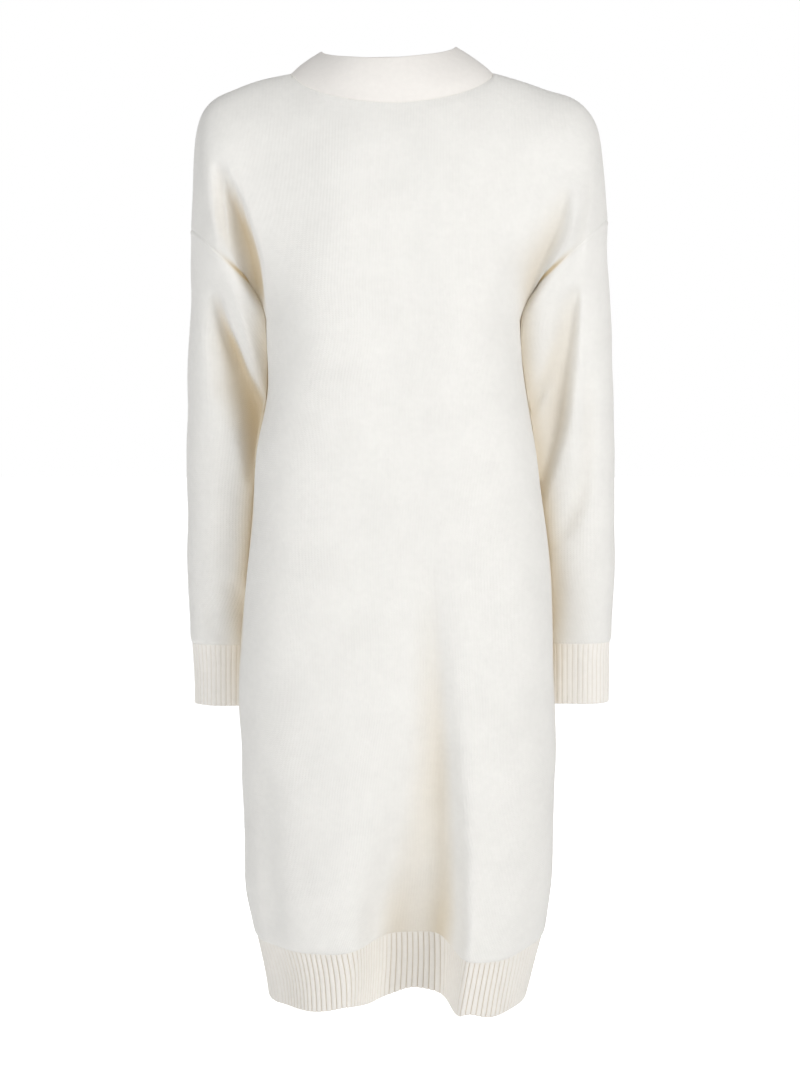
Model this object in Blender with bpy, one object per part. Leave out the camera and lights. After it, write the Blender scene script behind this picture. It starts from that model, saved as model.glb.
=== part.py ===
"""A knitted sweater dress, knee length, hanging in the filled-out form that it has when worn.

Frame: metres, +Z up, the front faces -Y and the wearer's left is +X. The origin lies between
the neck ends of the two shoulder seams, where the shoulders carry the dress. All side and
shoulder seams lie in the plane y = 0.

The knit is worked out as one sheet and cut into its pieces along the seams. Each piece is a
grid of points on the outer face and a second grid one wall thickness inside it.
Sizes are in millimetres and are turned into metres when the meshes are made.
"""
from math import pi, radians

import bpy
import numpy as np

MM = 0.001

# ---- driving sizes, mm ----
PANEL_WALL = 2.0
RIB_WALL = 2.6
COLLAR_WALL = 3.4
SEAM_GAP = 0.3

UNDERARM_DROP = 238
HEM_RIB_DROP = 929
HEM_DROP = 990
# The hem hangs lower between its side seams, and the middle fold lifts it again.
HEM_SAG = {"front": 11, "back": 4}
HEM_SAG_POWER = 0.6
HEM_FOLD_LIFT = {"front": 10, "back": 3}

NECK_X = -3
NECK_HALF_WIDTH = 110
NECK_SIDE_Z = 1.5
NECK_DROP = {"front": 43, "back": 15}
NECK_DIP_POWER = 1.2
# Over the neck opening the shoulder line is carried on as an arch, this much higher in its
# middle than the neck ends. The panels round off towards it and are cut at the neckline.
ARCH_RISE = 15
# Width of the arch that a share of the panel takes in its middle, as a part of the mean width.
# It grows from there to the ends, where it goes on into the shoulder seam's.
ARCH_MIDDLE_SPREAD = 0.54
NECKLINE_ROUNDS = 12

COLLAR_TOP_X = -7
COLLAR_TOP_HALF_WIDTH = 74
COLLAR_SIDE_RISE = {"right": 26, "left": 31}
COLLAR_TOP = {"front": {"depth": 66, "dip": 21}, "back": {"depth": 50, "dip": 0}}
COLLAR_SWELL = 2.5

# A panel's width is shared out from its right side seam, 0, to its left one, 1.
# The first and last shares end on the shoulder seams and the middle ones on the neckline.
SHOULDER_SHARE = 0.26
# The shares over which the roundness of the armhole fades into that of the chest.
ARMHOLE_FADE = 0.12
# Rows of the grid bend down this far beside the underarm, where the armhole turns forward.
UNDERARM_DIP = 30
DIP_SHARES = {"rise": 0.11, "fall": 0.42}

FRONT, BACK = -1, 1
RIGHT, LEFT = -1, 1
FACE = {FRONT: "front", BACK: "back"}


def table(columns, *rows):
    """Rows of numbers as named columns."""
    return dict(zip(columns.split(), np.array(rows, dtype=float).T))


# Plan of the body tube at each drop below the origin: x of the right and left side seams,
# and how far the front and the back stand out.
TORSO = table(
    "drop right left front back",
    (238, -143, 141, 119, 98),
    (290, -139, 136, 122, 96),
    (345, -138, 142, 121, 92),
    (400, -148, 151, 119, 89),
    (460, -153, 159, 118, 88),
    (530, -159, 168, 117, 92),
    (600, -166, 171, 117, 99),
    (680, -169, 173, 118, 105),
    (760, -165, 174, 118, 108),
    (840, -164, 171, 117, 107),
    (893, -160, 168, 115, 105),
    (929, -150, 160, 112, 101),
    (960, -142, 151, 109, 97),
    (990, -138, 143, 107, 94),
)
# A section or a climb is round at 2 and squarer above it.
SECTION_SQUARE = {FRONT: 2.5, BACK: 2.4}
CLIMB_SQUARE = {FRONT: 2.0, BACK: 2.5}

# Soft fullness of the bust, one each side of the middle.
BUST = {"x": 66, "drop": 262, "reach_x": 58, "reach_z": 78, "depth": 8}

# Long soft folds that run down to the hem. x is the fold's middle, depth how far it goes in,
# and the two reaches how far it spreads to each side. A higher square has a flatter floor.
FRONT_MIDDLE_FOLD = table(
    "drop x depth reach_right reach_left square",
    (470, 46, 0, 26, 24, 2.0),
    (570, 46, 4, 28, 26, 2.0),
    (680, 51, 12, 34, 30, 2.0),
    (760, 47, 24, 44, 36, 2.3),
    (850, 37, 45, 52, 42, 3.0),
    (929, 25, 68, 54, 46, 4.0),
    (990, 20, 78, 54, 46, 4.5),
)
FRONT_FLANK_FOLD = table(
    "drop x depth reach_right reach_left square",
    (740, -134, 0, 14, 16, 2.0),
    (850, -134, 5, 14, 16, 2.0),
    (990, -118, 8, 12, 16, 2.0),
)
BACK_RIGHT_FOLD = table(
    "drop x depth reach_right reach_left square",
    (520, -52, 0, 28, 28, 2.0),
    (700, -58, 10, 30, 30, 2.0),
    (850, -56, 28, 34, 36, 2.4),
    (990, -46, 46, 36, 38, 3.0),
)
BACK_LEFT_FOLD = table(
    "drop x depth reach_right reach_left square",
    (600, 78, 0, 26, 26, 2.0),
    (760, 76, 9, 28, 28, 2.0),
    (880, 70, 22, 30, 28, 2.2),
    (990, 66, 34, 32, 28, 2.6),
)
HEM_FOLDS = {
    FRONT: (FRONT_MIDDLE_FOLD, FRONT_FLANK_FOLD),
    BACK: (BACK_RIGHT_FOLD, BACK_LEFT_FOLD),
}

# The shoulder seams as seen from the front, from the armhole's top to the neckline.
SHOULDER_SEAM = {
    RIGHT: table(
        "x z",
        (-222, -168),
        (-221, -141),
        (-218, -92),
        (-213.5, -54),
        (-207, -37.5),
        (-196, -25.5),
        (-179, -17.4),
        (-161, -10.9),
        (-139.5, -4.6),
        (NECK_X - NECK_HALF_WIDTH, NECK_SIDE_Z),
    ),
    LEFT: table(
        "x z",
        (231, -158),
        (229, -124),
        (224, -78),
        (218, -55),
        (208, -38),
        (193, -25.5),
        (169, -17.4),
        (150, -10.9),
        (127.5, -4.6),
        (NECK_X + NECK_HALF_WIDTH, NECK_SIDE_Z),
    ),
}

# How far the armhole rings stand out in front of the seam plane and behind it.
ARMHOLE_DEPTH = {
    RIGHT: {"front": 70, "back": 62},
    LEFT: {"front": 65, "back": 57},
}
# The part of that depth which is left at each share of the panel's width.
ARMHOLE_BULGE = table(
    "share part",
    (0.00, 1.00),
    (0.065, 0.76),
    (0.13, 0.47),
    (0.20, 0.18),
    (0.26, 0.055),
    (0.32, 0.010),
    (0.38, 0.00),
    (0.50, 0.00),
)
# Rings of each sleeve along its middle, from the armhole to the cuff's end: where the ring
# meets the seam plane on its outer and inner sides, the middle of its depth, and how far it
# stands out from there. The armhole is the first ring and comes from the seams.
SLEEVE_COLUMNS = "along outer_x outer_z inner_x inner_z y front back"
SLEEVE = {
    RIGHT: table(
        SLEEVE_COLUMNS,
        (11, -222, -181, -147, -248, 1, 69, 61),
        (50, -223, -226, -131, -284, 15, 60, 54),
        (115, -227, -306, -127, -336, 24, 51, 50),
        (190, -229, -392, -138, -404, 26, 46, 46),
        (270, -229, -478, -149, -482, 31, 43, 42),
        (350, -229, -560, -153, -560, 34, 41, 40),
        (408, -224, -620, -154, -620, 36, 36, 36),
        (474, -222, -686, -154, -686, 36, 33, 33),
    ),
    LEFT: table(
        SLEEVE_COLUMNS,
        (11, 231, -171, 141, -248, 2, 64, 56),
        (50, 234, -216, 131, -284, 14, 57, 51),
        (115, 238, -300, 128, -336, 24, 50, 49),
        (190, 241.5, -388, 141, -404, 26, 46, 46),
        (270, 242, -476, 155, -482, 31, 43, 42),
        (350, 242, -558, 164, -560, 34, 41, 40),
        (408, 238, -619, 167, -619, 36, 36, 36),
        (474, 236, -684, 167, -684, 36, 33, 33),
    ),
}
CUFF_ALONG = {"seam": 408, "end": 474}
# Sleeves hang clear of the body by this much, reached this far below the underarm.
SLEEVE_CLEARANCE = 3.5
CLEARANCE_REACH = 24
CONTACT_SOFTNESS = 0.02

# Creases seen from the front or the back, as lines from one end to the other.
# A negative depth is a ridge.
CREASE_COLUMNS = "from_x from_z to_x to_z reach depth"
CREASES = {
    FRONT: table(
        CREASE_COLUMNS,
        (-184, -98, -147, -206, 9, 18),
        (-197, -92, -189, -190, 7, 5),
        (187, -138, 178, -172, 7, 7),
        (178, -164, 147, -212, 9, 14),
        (-194, -240, -146, -352, 11, 13),
        (-176, -246, -150, -330, 12, -4),
        (-162, -352, -156, -440, 14, 16),
        (192, -244, 156, -342, 11, 9),
        (214, -340, 204, -470, 14, 5),
    ),
    BACK: table(
        CREASE_COLUMNS,
        (-186, -110, -152, -214, 11, 12),
        (190, -112, 152, -210, 11, 12),
        (-196, -262, -160, -360, 13, 9),
        (204, -262, 168, -366, 13, 9),
    ),
}
CREASE_END_FADE = 0.18
CREASE_DEPTH_FADE = 34

# ---- fineness of the grids ----
SHOULDER_COLUMNS = 6
NECK_COLUMNS = {FRONT: 14, BACK: 10}
YOKE_ROWS = 10
TORSO_ROWS = 13
HEM_ROWS = 2
SLEEVE_ROWS = 10
# How far down the sleeve its even rows begin, and the one row between them and the armhole.
SLEEVE_START = 40
UNDERARM_ROW = 11
CUFF_ROWS = 2
COLLAR_ROWS = 3
SECTION_STEPS = 721
LEVELS = 95

# Points nearer than this are one point of a seam, mm.
SAME_PLACE = 0.05
# The least that a corner's mitre divides by, which keeps sharp corners from running far in.
MITRE_LIMIT = 0.4
EDGE_ANGLE = 50


def through(keys, values, at):
    """A smooth curve through (key, value) pairs, the natural cubic spline, read at any keys."""
    step = np.diff(keys)
    slope = np.diff(values) / step
    count = len(keys)
    system = np.eye(count)
    target = np.zeros(count)
    for i in range(1, count - 1):
        system[i, i - 1:i + 2] = step[i - 1], 2 * (step[i - 1] + step[i]), step[i]
        target[i] = 6 * (slope[i] - slope[i - 1])
    bend = np.linalg.solve(system, target)
    at = np.clip(at, keys[0], keys[-1])
    i = np.clip(np.searchsorted(keys, at, side="right") - 1, 0, count - 2)
    before = (keys[i + 1] - at) / step[i]
    after = 1 - before
    curve = (before ** 3 - before) * bend[i] + (after ** 3 - after) * bend[i + 1]
    return before * values[i] + after * values[i + 1] + curve * step[i] ** 2 / 6


def ease(low, high, at):
    """0 at low, 1 at high, with level ends."""
    part = np.clip((at - low) / (high - low), 0, 1)
    return part * part * (3 - 2 * part)


def at_drop(columns, name, drop):
    """A column of a table keyed by drop, read at one drop."""
    return through(columns["drop"], columns[name], drop)


def fold_shape(fold, x, drop):
    """How much of a hem fold's depth is reached at x, from 0 to 1."""
    offset = x - at_drop(fold, "x", drop)
    reach = np.where(
        offset < 0, at_drop(fold, "reach_right", drop), at_drop(fold, "reach_left", drop))
    return np.exp(-(np.abs(offset) / reach) ** at_drop(fold, "square", drop))


def half_section(drop, side, shares):
    """Plan of the body's front or back at one drop: x and y at shares of its length."""
    right, left, depth = (at_drop(TORSO, name, drop) for name in ("right", "left", FACE[side]))
    turn = np.linspace(-pi / 2, pi / 2, SECTION_STEPS)
    power = 2 / SECTION_SQUARE[side]
    around = np.cos(turn).clip(0, 1) ** power
    x = (left + right) / 2 + (left - right) / 2 * np.sign(turn) * np.abs(np.sin(turn)) ** power
    y = depth * around
    if side == FRONT:
        height = np.exp(-((drop - BUST["drop"]) / BUST["reach_z"]) ** 2)
        for bust_x in (-BUST["x"], BUST["x"]):
            y += BUST["depth"] * height * np.exp(-((x - bust_x) / BUST["reach_x"]) ** 2) * around
    for fold in HEM_FOLDS[side]:
        y -= at_drop(fold, "depth", drop) * fold_shape(fold, x, drop) * around
    length = np.concatenate([[0], np.cumsum(np.hypot(np.diff(x), np.diff(y)))])
    at = shares * length[-1]
    return np.interp(at, length, x), side * np.interp(at, length, y)


def body_tube(side, shares, drops):
    """Points of the body's front or back: drops has a row of grid points for each of its rows
    and a column for each share."""
    levels = np.linspace(UNDERARM_DROP, HEM_DROP, LEVELS)
    level_x, level_y = np.moveaxis([half_section(level, side, shares) for level in levels], 1, 0)
    x = np.stack([through(levels, level_x[:, k], drops[:, k]) for k in range(len(shares))], 1)
    y = np.stack([through(levels, level_y[:, k], drops[:, k]) for k in range(len(shares))], 1)
    return np.stack([x, y, -drops], axis=-1)


def underarm_drops(shares):
    """Drop of the grid row that passes through both underarms."""
    edge_share = np.minimum(shares, 1 - shares)
    dip = ease(0, DIP_SHARES["rise"], edge_share)
    dip = dip * (1 - ease(DIP_SHARES["rise"], DIP_SHARES["fall"], edge_share))
    return UNDERARM_DROP + UNDERARM_DIP * dip


def shoulder_line(wearer_side, parts):
    """Points of a shoulder seam at parts of its length, 0 at the armhole and 1 at the neck."""
    seam = SHOULDER_SEAM[wearer_side]
    steps = np.hypot(np.diff(seam["x"]), np.diff(seam["z"]))
    length = np.concatenate([[0], np.cumsum(steps)])
    x = through(length / length[-1], seam["x"], parts)
    z = through(length / length[-1], seam["z"], parts)
    return x, z


def neckline_z(side, x):
    """Height of the neckline seen from the front."""
    from_middle = ((x - NECK_X) / NECK_HALF_WIDTH).clip(-1, 1)
    round_off = np.sqrt(1 - from_middle ** 2) ** NECK_DIP_POWER
    return NECK_SIDE_Z - NECK_DROP[FACE[side]] * round_off


def top_edge(side, shares):
    """The panel's top edge seen from the front, x and z, and the height of the line that the
    panel rounds off towards: the shoulder seams themselves, and the arch over the neckline.

    Over the neck each column runs straight towards its point of the arch and ends where it
    meets the neckline, which is found by stepping along it.
    """
    middle = body_tube(side, shares, underarm_drops(shares)[None, :])[0]
    offset = np.clip((shares - 0.5) / (0.5 - SHOULDER_SHARE), -1, 1)
    spread = ARCH_MIDDLE_SPREAD * offset + (1 - ARCH_MIDDLE_SPREAD) * offset ** 3
    line_x = NECK_X + NECK_HALF_WIDTH * spread
    line_z = NECK_SIDE_Z + ARCH_RISE * (1 - spread ** 2)
    on_right = shares < SHOULDER_SHARE
    on_left = shares > 1 - SHOULDER_SHARE
    line_x[on_right], line_z[on_right] = shoulder_line(RIGHT, shares[on_right] / SHOULDER_SHARE)
    line_x[on_left], line_z[on_left] = shoulder_line(LEFT, (1 - shares[on_left]) / SHOULDER_SHARE)
    x, z = line_x.copy(), line_z.copy()
    neck = ~(on_right | on_left)
    for _ in range(NECKLINE_ROUNDS):
        z[neck] = neckline_z(side, x[neck])
        reached = (z - middle[:, 2]) / (line_z - middle[:, 2])
        x = middle[:, 0] + (line_x - middle[:, 0]) * reached
    return x, z, line_z


def crease(points, side, middle_y=0.0):
    """Points with the creases of one side pressed in along y, less so near the seam plane."""
    lines = CREASES[side]
    depth_in = side * (points[..., 1] - middle_y)
    facing = ease(0, CREASE_DEPTH_FADE, depth_in)
    pressed = points.copy()
    for start_x, start_z, end_x, end_z, reach, depth in zip(*lines.values()):
        run_x, run_z = end_x - start_x, end_z - start_z
        length = np.hypot(run_x, run_z)
        off_x, off_z = points[..., 0] - start_x, points[..., 2] - start_z
        along = (off_x * run_x + off_z * run_z) / length ** 2
        beside = (off_x * run_z - off_z * run_x) / length
        ends = ease(-CREASE_END_FADE, CREASE_END_FADE, along)
        ends = ends * (1 - ease(1 - CREASE_END_FADE, 1 + CREASE_END_FADE, along))
        pressed[..., 1] -= side * depth * facing * ends * np.exp(-(beside / reach) ** 2)
    return pressed


def yoke(side, shares, climbs):
    """The panel above the underarms. climbs run from 0 at the underarm to 1 at the top edge.

    Seen from the front each column is a straight line. In depth it rounds off from the chest
    towards the shoulder line, and the armhole's own bulge is added near the sleeves.
    """
    bottom = body_tube(side, shares, underarm_drops(shares)[None, :])[0]
    top_x, top_z, line_z = top_edge(side, shares)
    reached = (top_z - bottom[:, 2]) / (line_z - bottom[:, 2])
    edge_share = np.minimum(shares, 1 - shares)
    near_arm = 1 - ease(0, ARMHOLE_FADE, edge_share)
    climb = climbs[:, None]
    from_chest = np.sin(climb * np.arcsin(reached.clip(0, 1)))
    progress = near_arm * (1 - np.cos(pi * climb)) / 2 + (1 - near_arm) * from_chest
    part = progress / reached
    x = bottom[:, 0] + (top_x - bottom[:, 0]) * part
    z = bottom[:, 2] + (top_z - bottom[:, 2]) * part
    square = CLIMB_SQUARE[side]
    y = bottom[:, 1] * (1 - progress.clip(0, 1) ** square) ** (1 / square)
    bulge = through(ARMHOLE_BULGE["share"], ARMHOLE_BULGE["part"], edge_share)
    armhole = np.where(
        shares < 0.5, ARMHOLE_DEPTH[RIGHT][FACE[side]], ARMHOLE_DEPTH[LEFT][FACE[side]])
    y = y + side * bulge * armhole * np.sin(pi * climb)
    return crease(np.stack([x, y, z], axis=-1), side)


def shares_of(side):
    """The shares of the panel's width at which its grid has columns, closer together by the
    ends of the neckline."""
    shoulder = np.linspace(0, SHOULDER_SHARE, SHOULDER_COLUMNS + 1)
    neck = 0.5 - (0.5 - SHOULDER_SHARE) * np.cos(np.linspace(0, pi, NECK_COLUMNS[side] + 1))
    return np.concatenate([shoulder[:-1], neck, 1 - shoulder[-2::-1]])


def panel(side):
    """Grid of the front or back panel, from the hem band's seam up to its top edge."""
    shares = shares_of(side)
    drops = np.linspace(np.full_like(shares, HEM_RIB_DROP), underarm_drops(shares), TORSO_ROWS + 1)
    torso = crease(body_tube(side, shares, drops[:-1]), side)
    return np.concatenate([torso, yoke(side, shares, np.linspace(0, 1, YOKE_ROWS + 1))])


def hem_band(side):
    """Grid of the ribbed band below the front or back panel."""
    shares = shares_of(side)
    drops = np.linspace(HEM_DROP, HEM_RIB_DROP, HEM_ROWS + 1)[:, None] + 0 * shares
    band = body_tube(side, shares, drops)
    sag = HEM_SAG[FACE[side]] * np.sin(pi * shares).clip(0) ** HEM_SAG_POWER
    middle_fold = HEM_FOLDS[side][0]
    lift = HEM_FOLD_LIFT[FACE[side]] * fold_shape(middle_fold, band[0, :, 0], HEM_DROP)
    hang = (drops - HEM_RIB_DROP) / (HEM_DROP - HEM_RIB_DROP)
    band[..., 2] -= (sag - lift) * hang
    return band


def sleeve_table(wearer_side):
    """The sleeve's table with the armhole ring, worked out from the seams, as its first row."""
    seam = SHOULDER_SEAM[wearer_side]
    under_x = at_drop(TORSO, "right" if wearer_side == RIGHT else "left", UNDERARM_DROP)
    first = {
        "along": 0,
        "outer_x": seam["x"][0],
        "outer_z": seam["z"][0],
        "inner_x": under_x,
        "inner_z": -UNDERARM_DROP,
        "y": 0,
        "front": ARMHOLE_DEPTH[wearer_side]["front"],
        "back": ARMHOLE_DEPTH[wearer_side]["back"],
    }
    rings = SLEEVE[wearer_side]
    return {name: np.concatenate([[first[name]], rings[name]]) for name in rings}


def clear_of_body(points):
    """Points moved out where they would press into the body tube, softly where they touch."""
    drops = -points[..., 2]
    right, left, front, back = (
        at_drop(TORSO, name, drops) for name in ("right", "left", "front", "back"))
    in_front = points[..., 1] < 0
    depth = np.where(in_front, front, back)
    square = np.where(in_front, SECTION_SQUARE[FRONT], SECTION_SQUARE[BACK])
    middle, half = (left + right) / 2, (left - right) / 2
    off_x = points[..., 0] - middle
    level = np.abs(off_x / half) ** square + np.abs(points[..., 1] / depth) ** square
    level = level ** (1 / square)
    margin = SLEEVE_CLEARANCE * np.clip((drops - UNDERARM_DROP) / CLEARANCE_REACH, 0, 1)
    wanted = 1 + margin / half
    over = ((level - wanted) / CONTACT_SOFTNESS).clip(-40, 40)
    held = wanted + CONTACT_SOFTNESS * np.log1p(np.exp(over))
    grow = np.where((drops > UNDERARM_DROP) & (held > level), held / level, 1)
    moved = points.copy()
    moved[..., 0] = middle + off_x * grow
    moved[..., 1] = points[..., 1] * grow
    return moved


def sleeve_rings(wearer_side, alongs, turns):
    """Rings of a sleeve. turns run from the underarm, 0, round the front to the top, pi."""
    columns = sleeve_table(wearer_side)
    rings = []
    for along in alongs:
        ring = {name: through(columns["along"], columns[name], along) for name in columns}
        out = (1 - np.cos(turns)) / 2
        x = ring["inner_x"] + (ring["outer_x"] - ring["inner_x"]) * out
        z = ring["inner_z"] + (ring["outer_z"] - ring["inner_z"]) * out
        depth = np.where(np.sin(turns) > 0, ring["front"], ring["back"])
        y = ring["y"] - depth * np.sin(turns)
        points = np.stack([x, y, z], axis=-1)
        for side in (FRONT, BACK):
            points = crease(points, side, ring["y"])
        rings.append(points)
    return clear_of_body(np.array(rings))


def ring_turns():
    """Turns of a sleeve's points, matching the rows of the panels round the armhole."""
    climbs = np.linspace(0, 1, YOKE_ROWS + 1)
    return np.concatenate([climbs * pi, 2 * pi - climbs[-2:0:-1] * pi])


def armhole_ring(wearer_side, panels):
    """The sleeve's first ring: the armhole edges of the front and back panels."""
    column = 0 if wearer_side == RIGHT else -1
    front, back = (panels[side][TORSO_ROWS:, column] for side in (FRONT, BACK))
    return np.concatenate([front, back[-2:0:-1]])


def sleeve(wearer_side, panels):
    """Grid of a sleeve, from the cuff's seam up to the armhole."""
    alongs = np.concatenate([
        np.linspace(CUFF_ALONG["seam"], SLEEVE_START, SLEEVE_ROWS), [UNDERARM_ROW]])
    rings = sleeve_rings(wearer_side, alongs, ring_turns())
    return np.concatenate([rings, [armhole_ring(wearer_side, panels)]])


def cuff(wearer_side):
    """Grid of a cuff, from its open end up to the sleeve."""
    alongs = np.linspace(CUFF_ALONG["end"], CUFF_ALONG["seam"], CUFF_ROWS + 1)
    return sleeve_rings(wearer_side, alongs, ring_turns())


def neck_ring(panels):
    """The neck edges of the panels as one ring, from the right shoulder round the front."""
    first = SHOULDER_COLUMNS
    front = panels[FRONT][-1, first:first + NECK_COLUMNS[FRONT] + 1]
    back = panels[BACK][-1, first:first + NECK_COLUMNS[BACK] + 1]
    return np.concatenate([front, back[-2:0:-1]])


def collar(panels):
    """Grid of the collar, from the neck seam up to its top edge. Its turns run from the right
    shoulder seam, 0, round the front."""
    base = neck_ring(panels)
    turns = np.arccos(((NECK_X - base[:, 0]) / NECK_HALF_WIDTH).clip(-1, 1))
    turns = np.where(base[:, 1] > SAME_PLACE, 2 * pi - turns, turns)
    face = np.where(np.sin(turns) > 0, COLLAR_TOP["front"]["depth"], COLLAR_TOP["back"]["depth"])
    dip = np.where(np.sin(turns) > 0, COLLAR_TOP["front"]["dip"], COLLAR_TOP["back"]["dip"])
    lean = (1 - np.cos(turns)) / 2
    side_rise = COLLAR_SIDE_RISE["right"] * (1 - lean) + COLLAR_SIDE_RISE["left"] * lean
    top = np.stack([
        COLLAR_TOP_X - COLLAR_TOP_HALF_WIDTH * np.cos(turns),
        -face * np.sin(turns),
        side_rise - dip * np.abs(np.sin(turns)) ** NECK_DIP_POWER,
    ], axis=-1)
    outward = np.stack([-np.cos(turns), -np.sin(turns), np.zeros_like(turns)], axis=-1)
    part = np.linspace(0, 1, COLLAR_ROWS + 1)[:, None, None]
    return base * (1 - part) + top * part + outward * COLLAR_SWELL * np.sin(pi * part)


class Piece:
    """One knitted piece: a grid of outer points, its wall, and whether it closes into a tube.

    seam_row is the row that meets a panel, where a thicker wall thins to the panel's own.
    """

    def __init__(self, name, grid, wall, closed=False, flip=False, seam_row=None):
        self.name = name
        self.grid = grid
        self.walls = np.full(len(grid), float(wall))
        if seam_row is not None:
            self.walls[seam_row] = PANEL_WALL
        self.closed = closed
        self.sign = -1 if flip else 1

    def normals(self):
        """Outward directions at the grid's points."""
        up = np.gradient(self.grid, axis=0)
        if self.closed:
            across = np.roll(self.grid, -1, axis=1) - np.roll(self.grid, 1, axis=1)
        else:
            across = np.gradient(self.grid, axis=1)
        return unit(np.cross(across, up) * self.sign)

    def borders(self):
        """Closed loops of point numbers round the open edges, the piece on their left."""
        rows, columns = self.grid.shape[:2]
        bottom = list(range(columns))
        top = [(rows - 1) * columns + k for k in bottom]
        if self.closed:
            return [bottom, top[::-1]]
        last_column = [r * columns + columns - 1 for r in range(rows)]
        first_column = [r * columns for r in range(rows)]
        return [bottom[:-1] + last_column[:-1] + top[:0:-1] + first_column[:0:-1]]

    def trimmed(self, normal):
        """The outer points with every border moved half a seam gap into the piece."""
        points = self.grid.reshape(-1, 3).copy()
        normal = normal.reshape(-1, 3)
        moves = {}
        for loop in self.borders():
            here, after = np.array(loop), np.roll(loop, -1)
            run = points[after] - points[here]
            inward = unit(np.cross(normal[here] + normal[after], run)) * self.sign
            before = np.roll(inward, 1, axis=0)
            mitre = 1 + np.sum(inward * before, axis=1, keepdims=True)
            moves.update(zip(loop, SEAM_GAP / 2 * (inward + before) / mitre.clip(MITRE_LIMIT)))
        for index, move in moves.items():
            points[index] += move
        return points


def unit(vectors):
    return vectors / np.linalg.norm(vectors, axis=-1, keepdims=True)


def shared_normals(pieces):
    """Normals of every piece, halfway between panel and tube where they meet, so that the
    two edges of a seam face each other squarely."""
    found = {}
    keys = {}
    for piece in pieces:
        places = np.rint(piece.grid.reshape(-1, 3) / SAME_PLACE).astype(int)
        keys[piece.name] = [tuple(place) for place in places]
        for key, direction in zip(keys[piece.name], piece.normals().reshape(-1, 3)):
            sums = found.setdefault(key, {})
            sums[piece.closed] = sums.get(piece.closed, 0) + direction
    shared = {key: unit(sum(unit(total) for total in sums.values())) for key, sums in found.items()}
    return {
        piece.name: np.array([shared[key] for key in keys[piece.name]]).reshape(piece.grid.shape)
        for piece in pieces
    }


def cell_faces(outer, closed):
    """Triangles of a grid's cells, each cell cut along its shorter diagonal."""
    rows, columns = outer.shape[:2]
    last = columns if closed else columns - 1
    faces = []
    for row in range(rows - 1):
        for column in range(last):
            right = (column + 1) % columns
            low_a, low_b = (row, column), (row, right)
            high_a, high_b = (row + 1, column), (row + 1, right)
            rising = np.linalg.norm(outer[high_b] - outer[low_a])
            falling = np.linalg.norm(outer[high_a] - outer[low_b])
            a, b, c, d = (r * columns + k for r, k in (low_a, low_b, high_b, high_a))
            faces += [(a, b, c), (a, c, d)] if rising <= falling else [(a, b, d), (b, c, d)]
    return faces


def edge_faces(outer, inner, loop, count):
    """Triangles between the outer and inner faces along a border, cut on the shorter diagonal
    so that both sides of a seam are cut alike."""
    faces = []
    for a, b in zip(loop, loop[1:] + loop[:1]):
        if np.linalg.norm(outer[b] - inner[a]) <= np.linalg.norm(outer[a] - inner[b]):
            faces += [(b, a, a + count), (b, a + count, b + count)]
        else:
            faces += [(b, a, b + count), (a, a + count, b + count)]
    return faces


def add_solid(piece, normal):
    """The piece as one closed mesh: outer face, inner face, and the edges between them."""
    outer = piece.trimmed(normal)
    walls = np.repeat(piece.walls, piece.grid.shape[1])[:, None]
    inner = outer - normal.reshape(-1, 3) * walls
    count = len(outer)
    cells = cell_faces(outer.reshape(piece.grid.shape), piece.closed)
    faces = cells + [(a + count, c + count, b + count) for a, b, c in cells]
    for loop in piece.borders():
        faces += edge_faces(outer, inner, loop, count)
    if piece.sign < 0:
        faces = [face[::-1] for face in faces]
    mesh = bpy.data.meshes.new(piece.name)
    mesh.from_pydata((np.concatenate([outer, inner]) * MM).tolist(), [], faces)
    mesh.shade_smooth()
    mesh.set_sharp_from_angle(angle=radians(EDGE_ANGLE))
    part = bpy.data.objects.new(piece.name, mesh)
    bpy.context.scene.collection.objects.link(part)
    return part


def knit_material(name, colour, roughness):
    material = bpy.data.materials.new(name)
    material.use_nodes = True
    shader = material.node_tree.nodes["Principled BSDF"]
    shader.inputs["Base Color"].default_value = (*colour, 1)
    shader.inputs["Roughness"].default_value = roughness
    shader.inputs["Metallic"].default_value = 0
    material.diffuse_color = (*colour, 1)
    return material


def all_pieces():
    """Every piece of the dress, cut from the sheet."""
    panels = {side: panel(side) for side in (FRONT, BACK)}
    return [
        Piece("front", panels[FRONT], PANEL_WALL),
        Piece("back", panels[BACK], PANEL_WALL, flip=True),
        Piece("hem_front", hem_band(FRONT), RIB_WALL, seam_row=-1),
        Piece("hem_back", hem_band(BACK), RIB_WALL, flip=True, seam_row=-1),
        Piece("sleeve_right", sleeve(RIGHT, panels), PANEL_WALL, closed=True, flip=True),
        Piece("sleeve_left", sleeve(LEFT, panels), PANEL_WALL, closed=True),
        Piece("cuff_right", cuff(RIGHT), RIB_WALL, closed=True, flip=True, seam_row=-1),
        Piece("cuff_left", cuff(LEFT), RIB_WALL, closed=True, seam_row=-1),
        Piece("collar", collar(panels), COLLAR_WALL, closed=True, seam_row=0),
    ]


LOOKS = {
    "collar": ((0.84, 0.81, 0.75), 0.85),
    "front": ((0.85, 0.83, 0.79), 0.9),
    "back": ((0.85, 0.83, 0.79), 0.9),
}
OTHER_LOOK = ((0.84, 0.82, 0.77), 0.9)


def main():
    for old in list(bpy.data.objects):
        bpy.data.objects.remove(old, do_unlink=True)
    pieces = all_pieces()
    normals = shared_normals(pieces)
    for piece in pieces:
        part = add_solid(piece, normals[piece.name])
        colour, roughness = LOOKS.get(piece.name, OTHER_LOOK)
        part.data.materials.append(knit_material(piece.name + "_knit", colour, roughness))


main()
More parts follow.
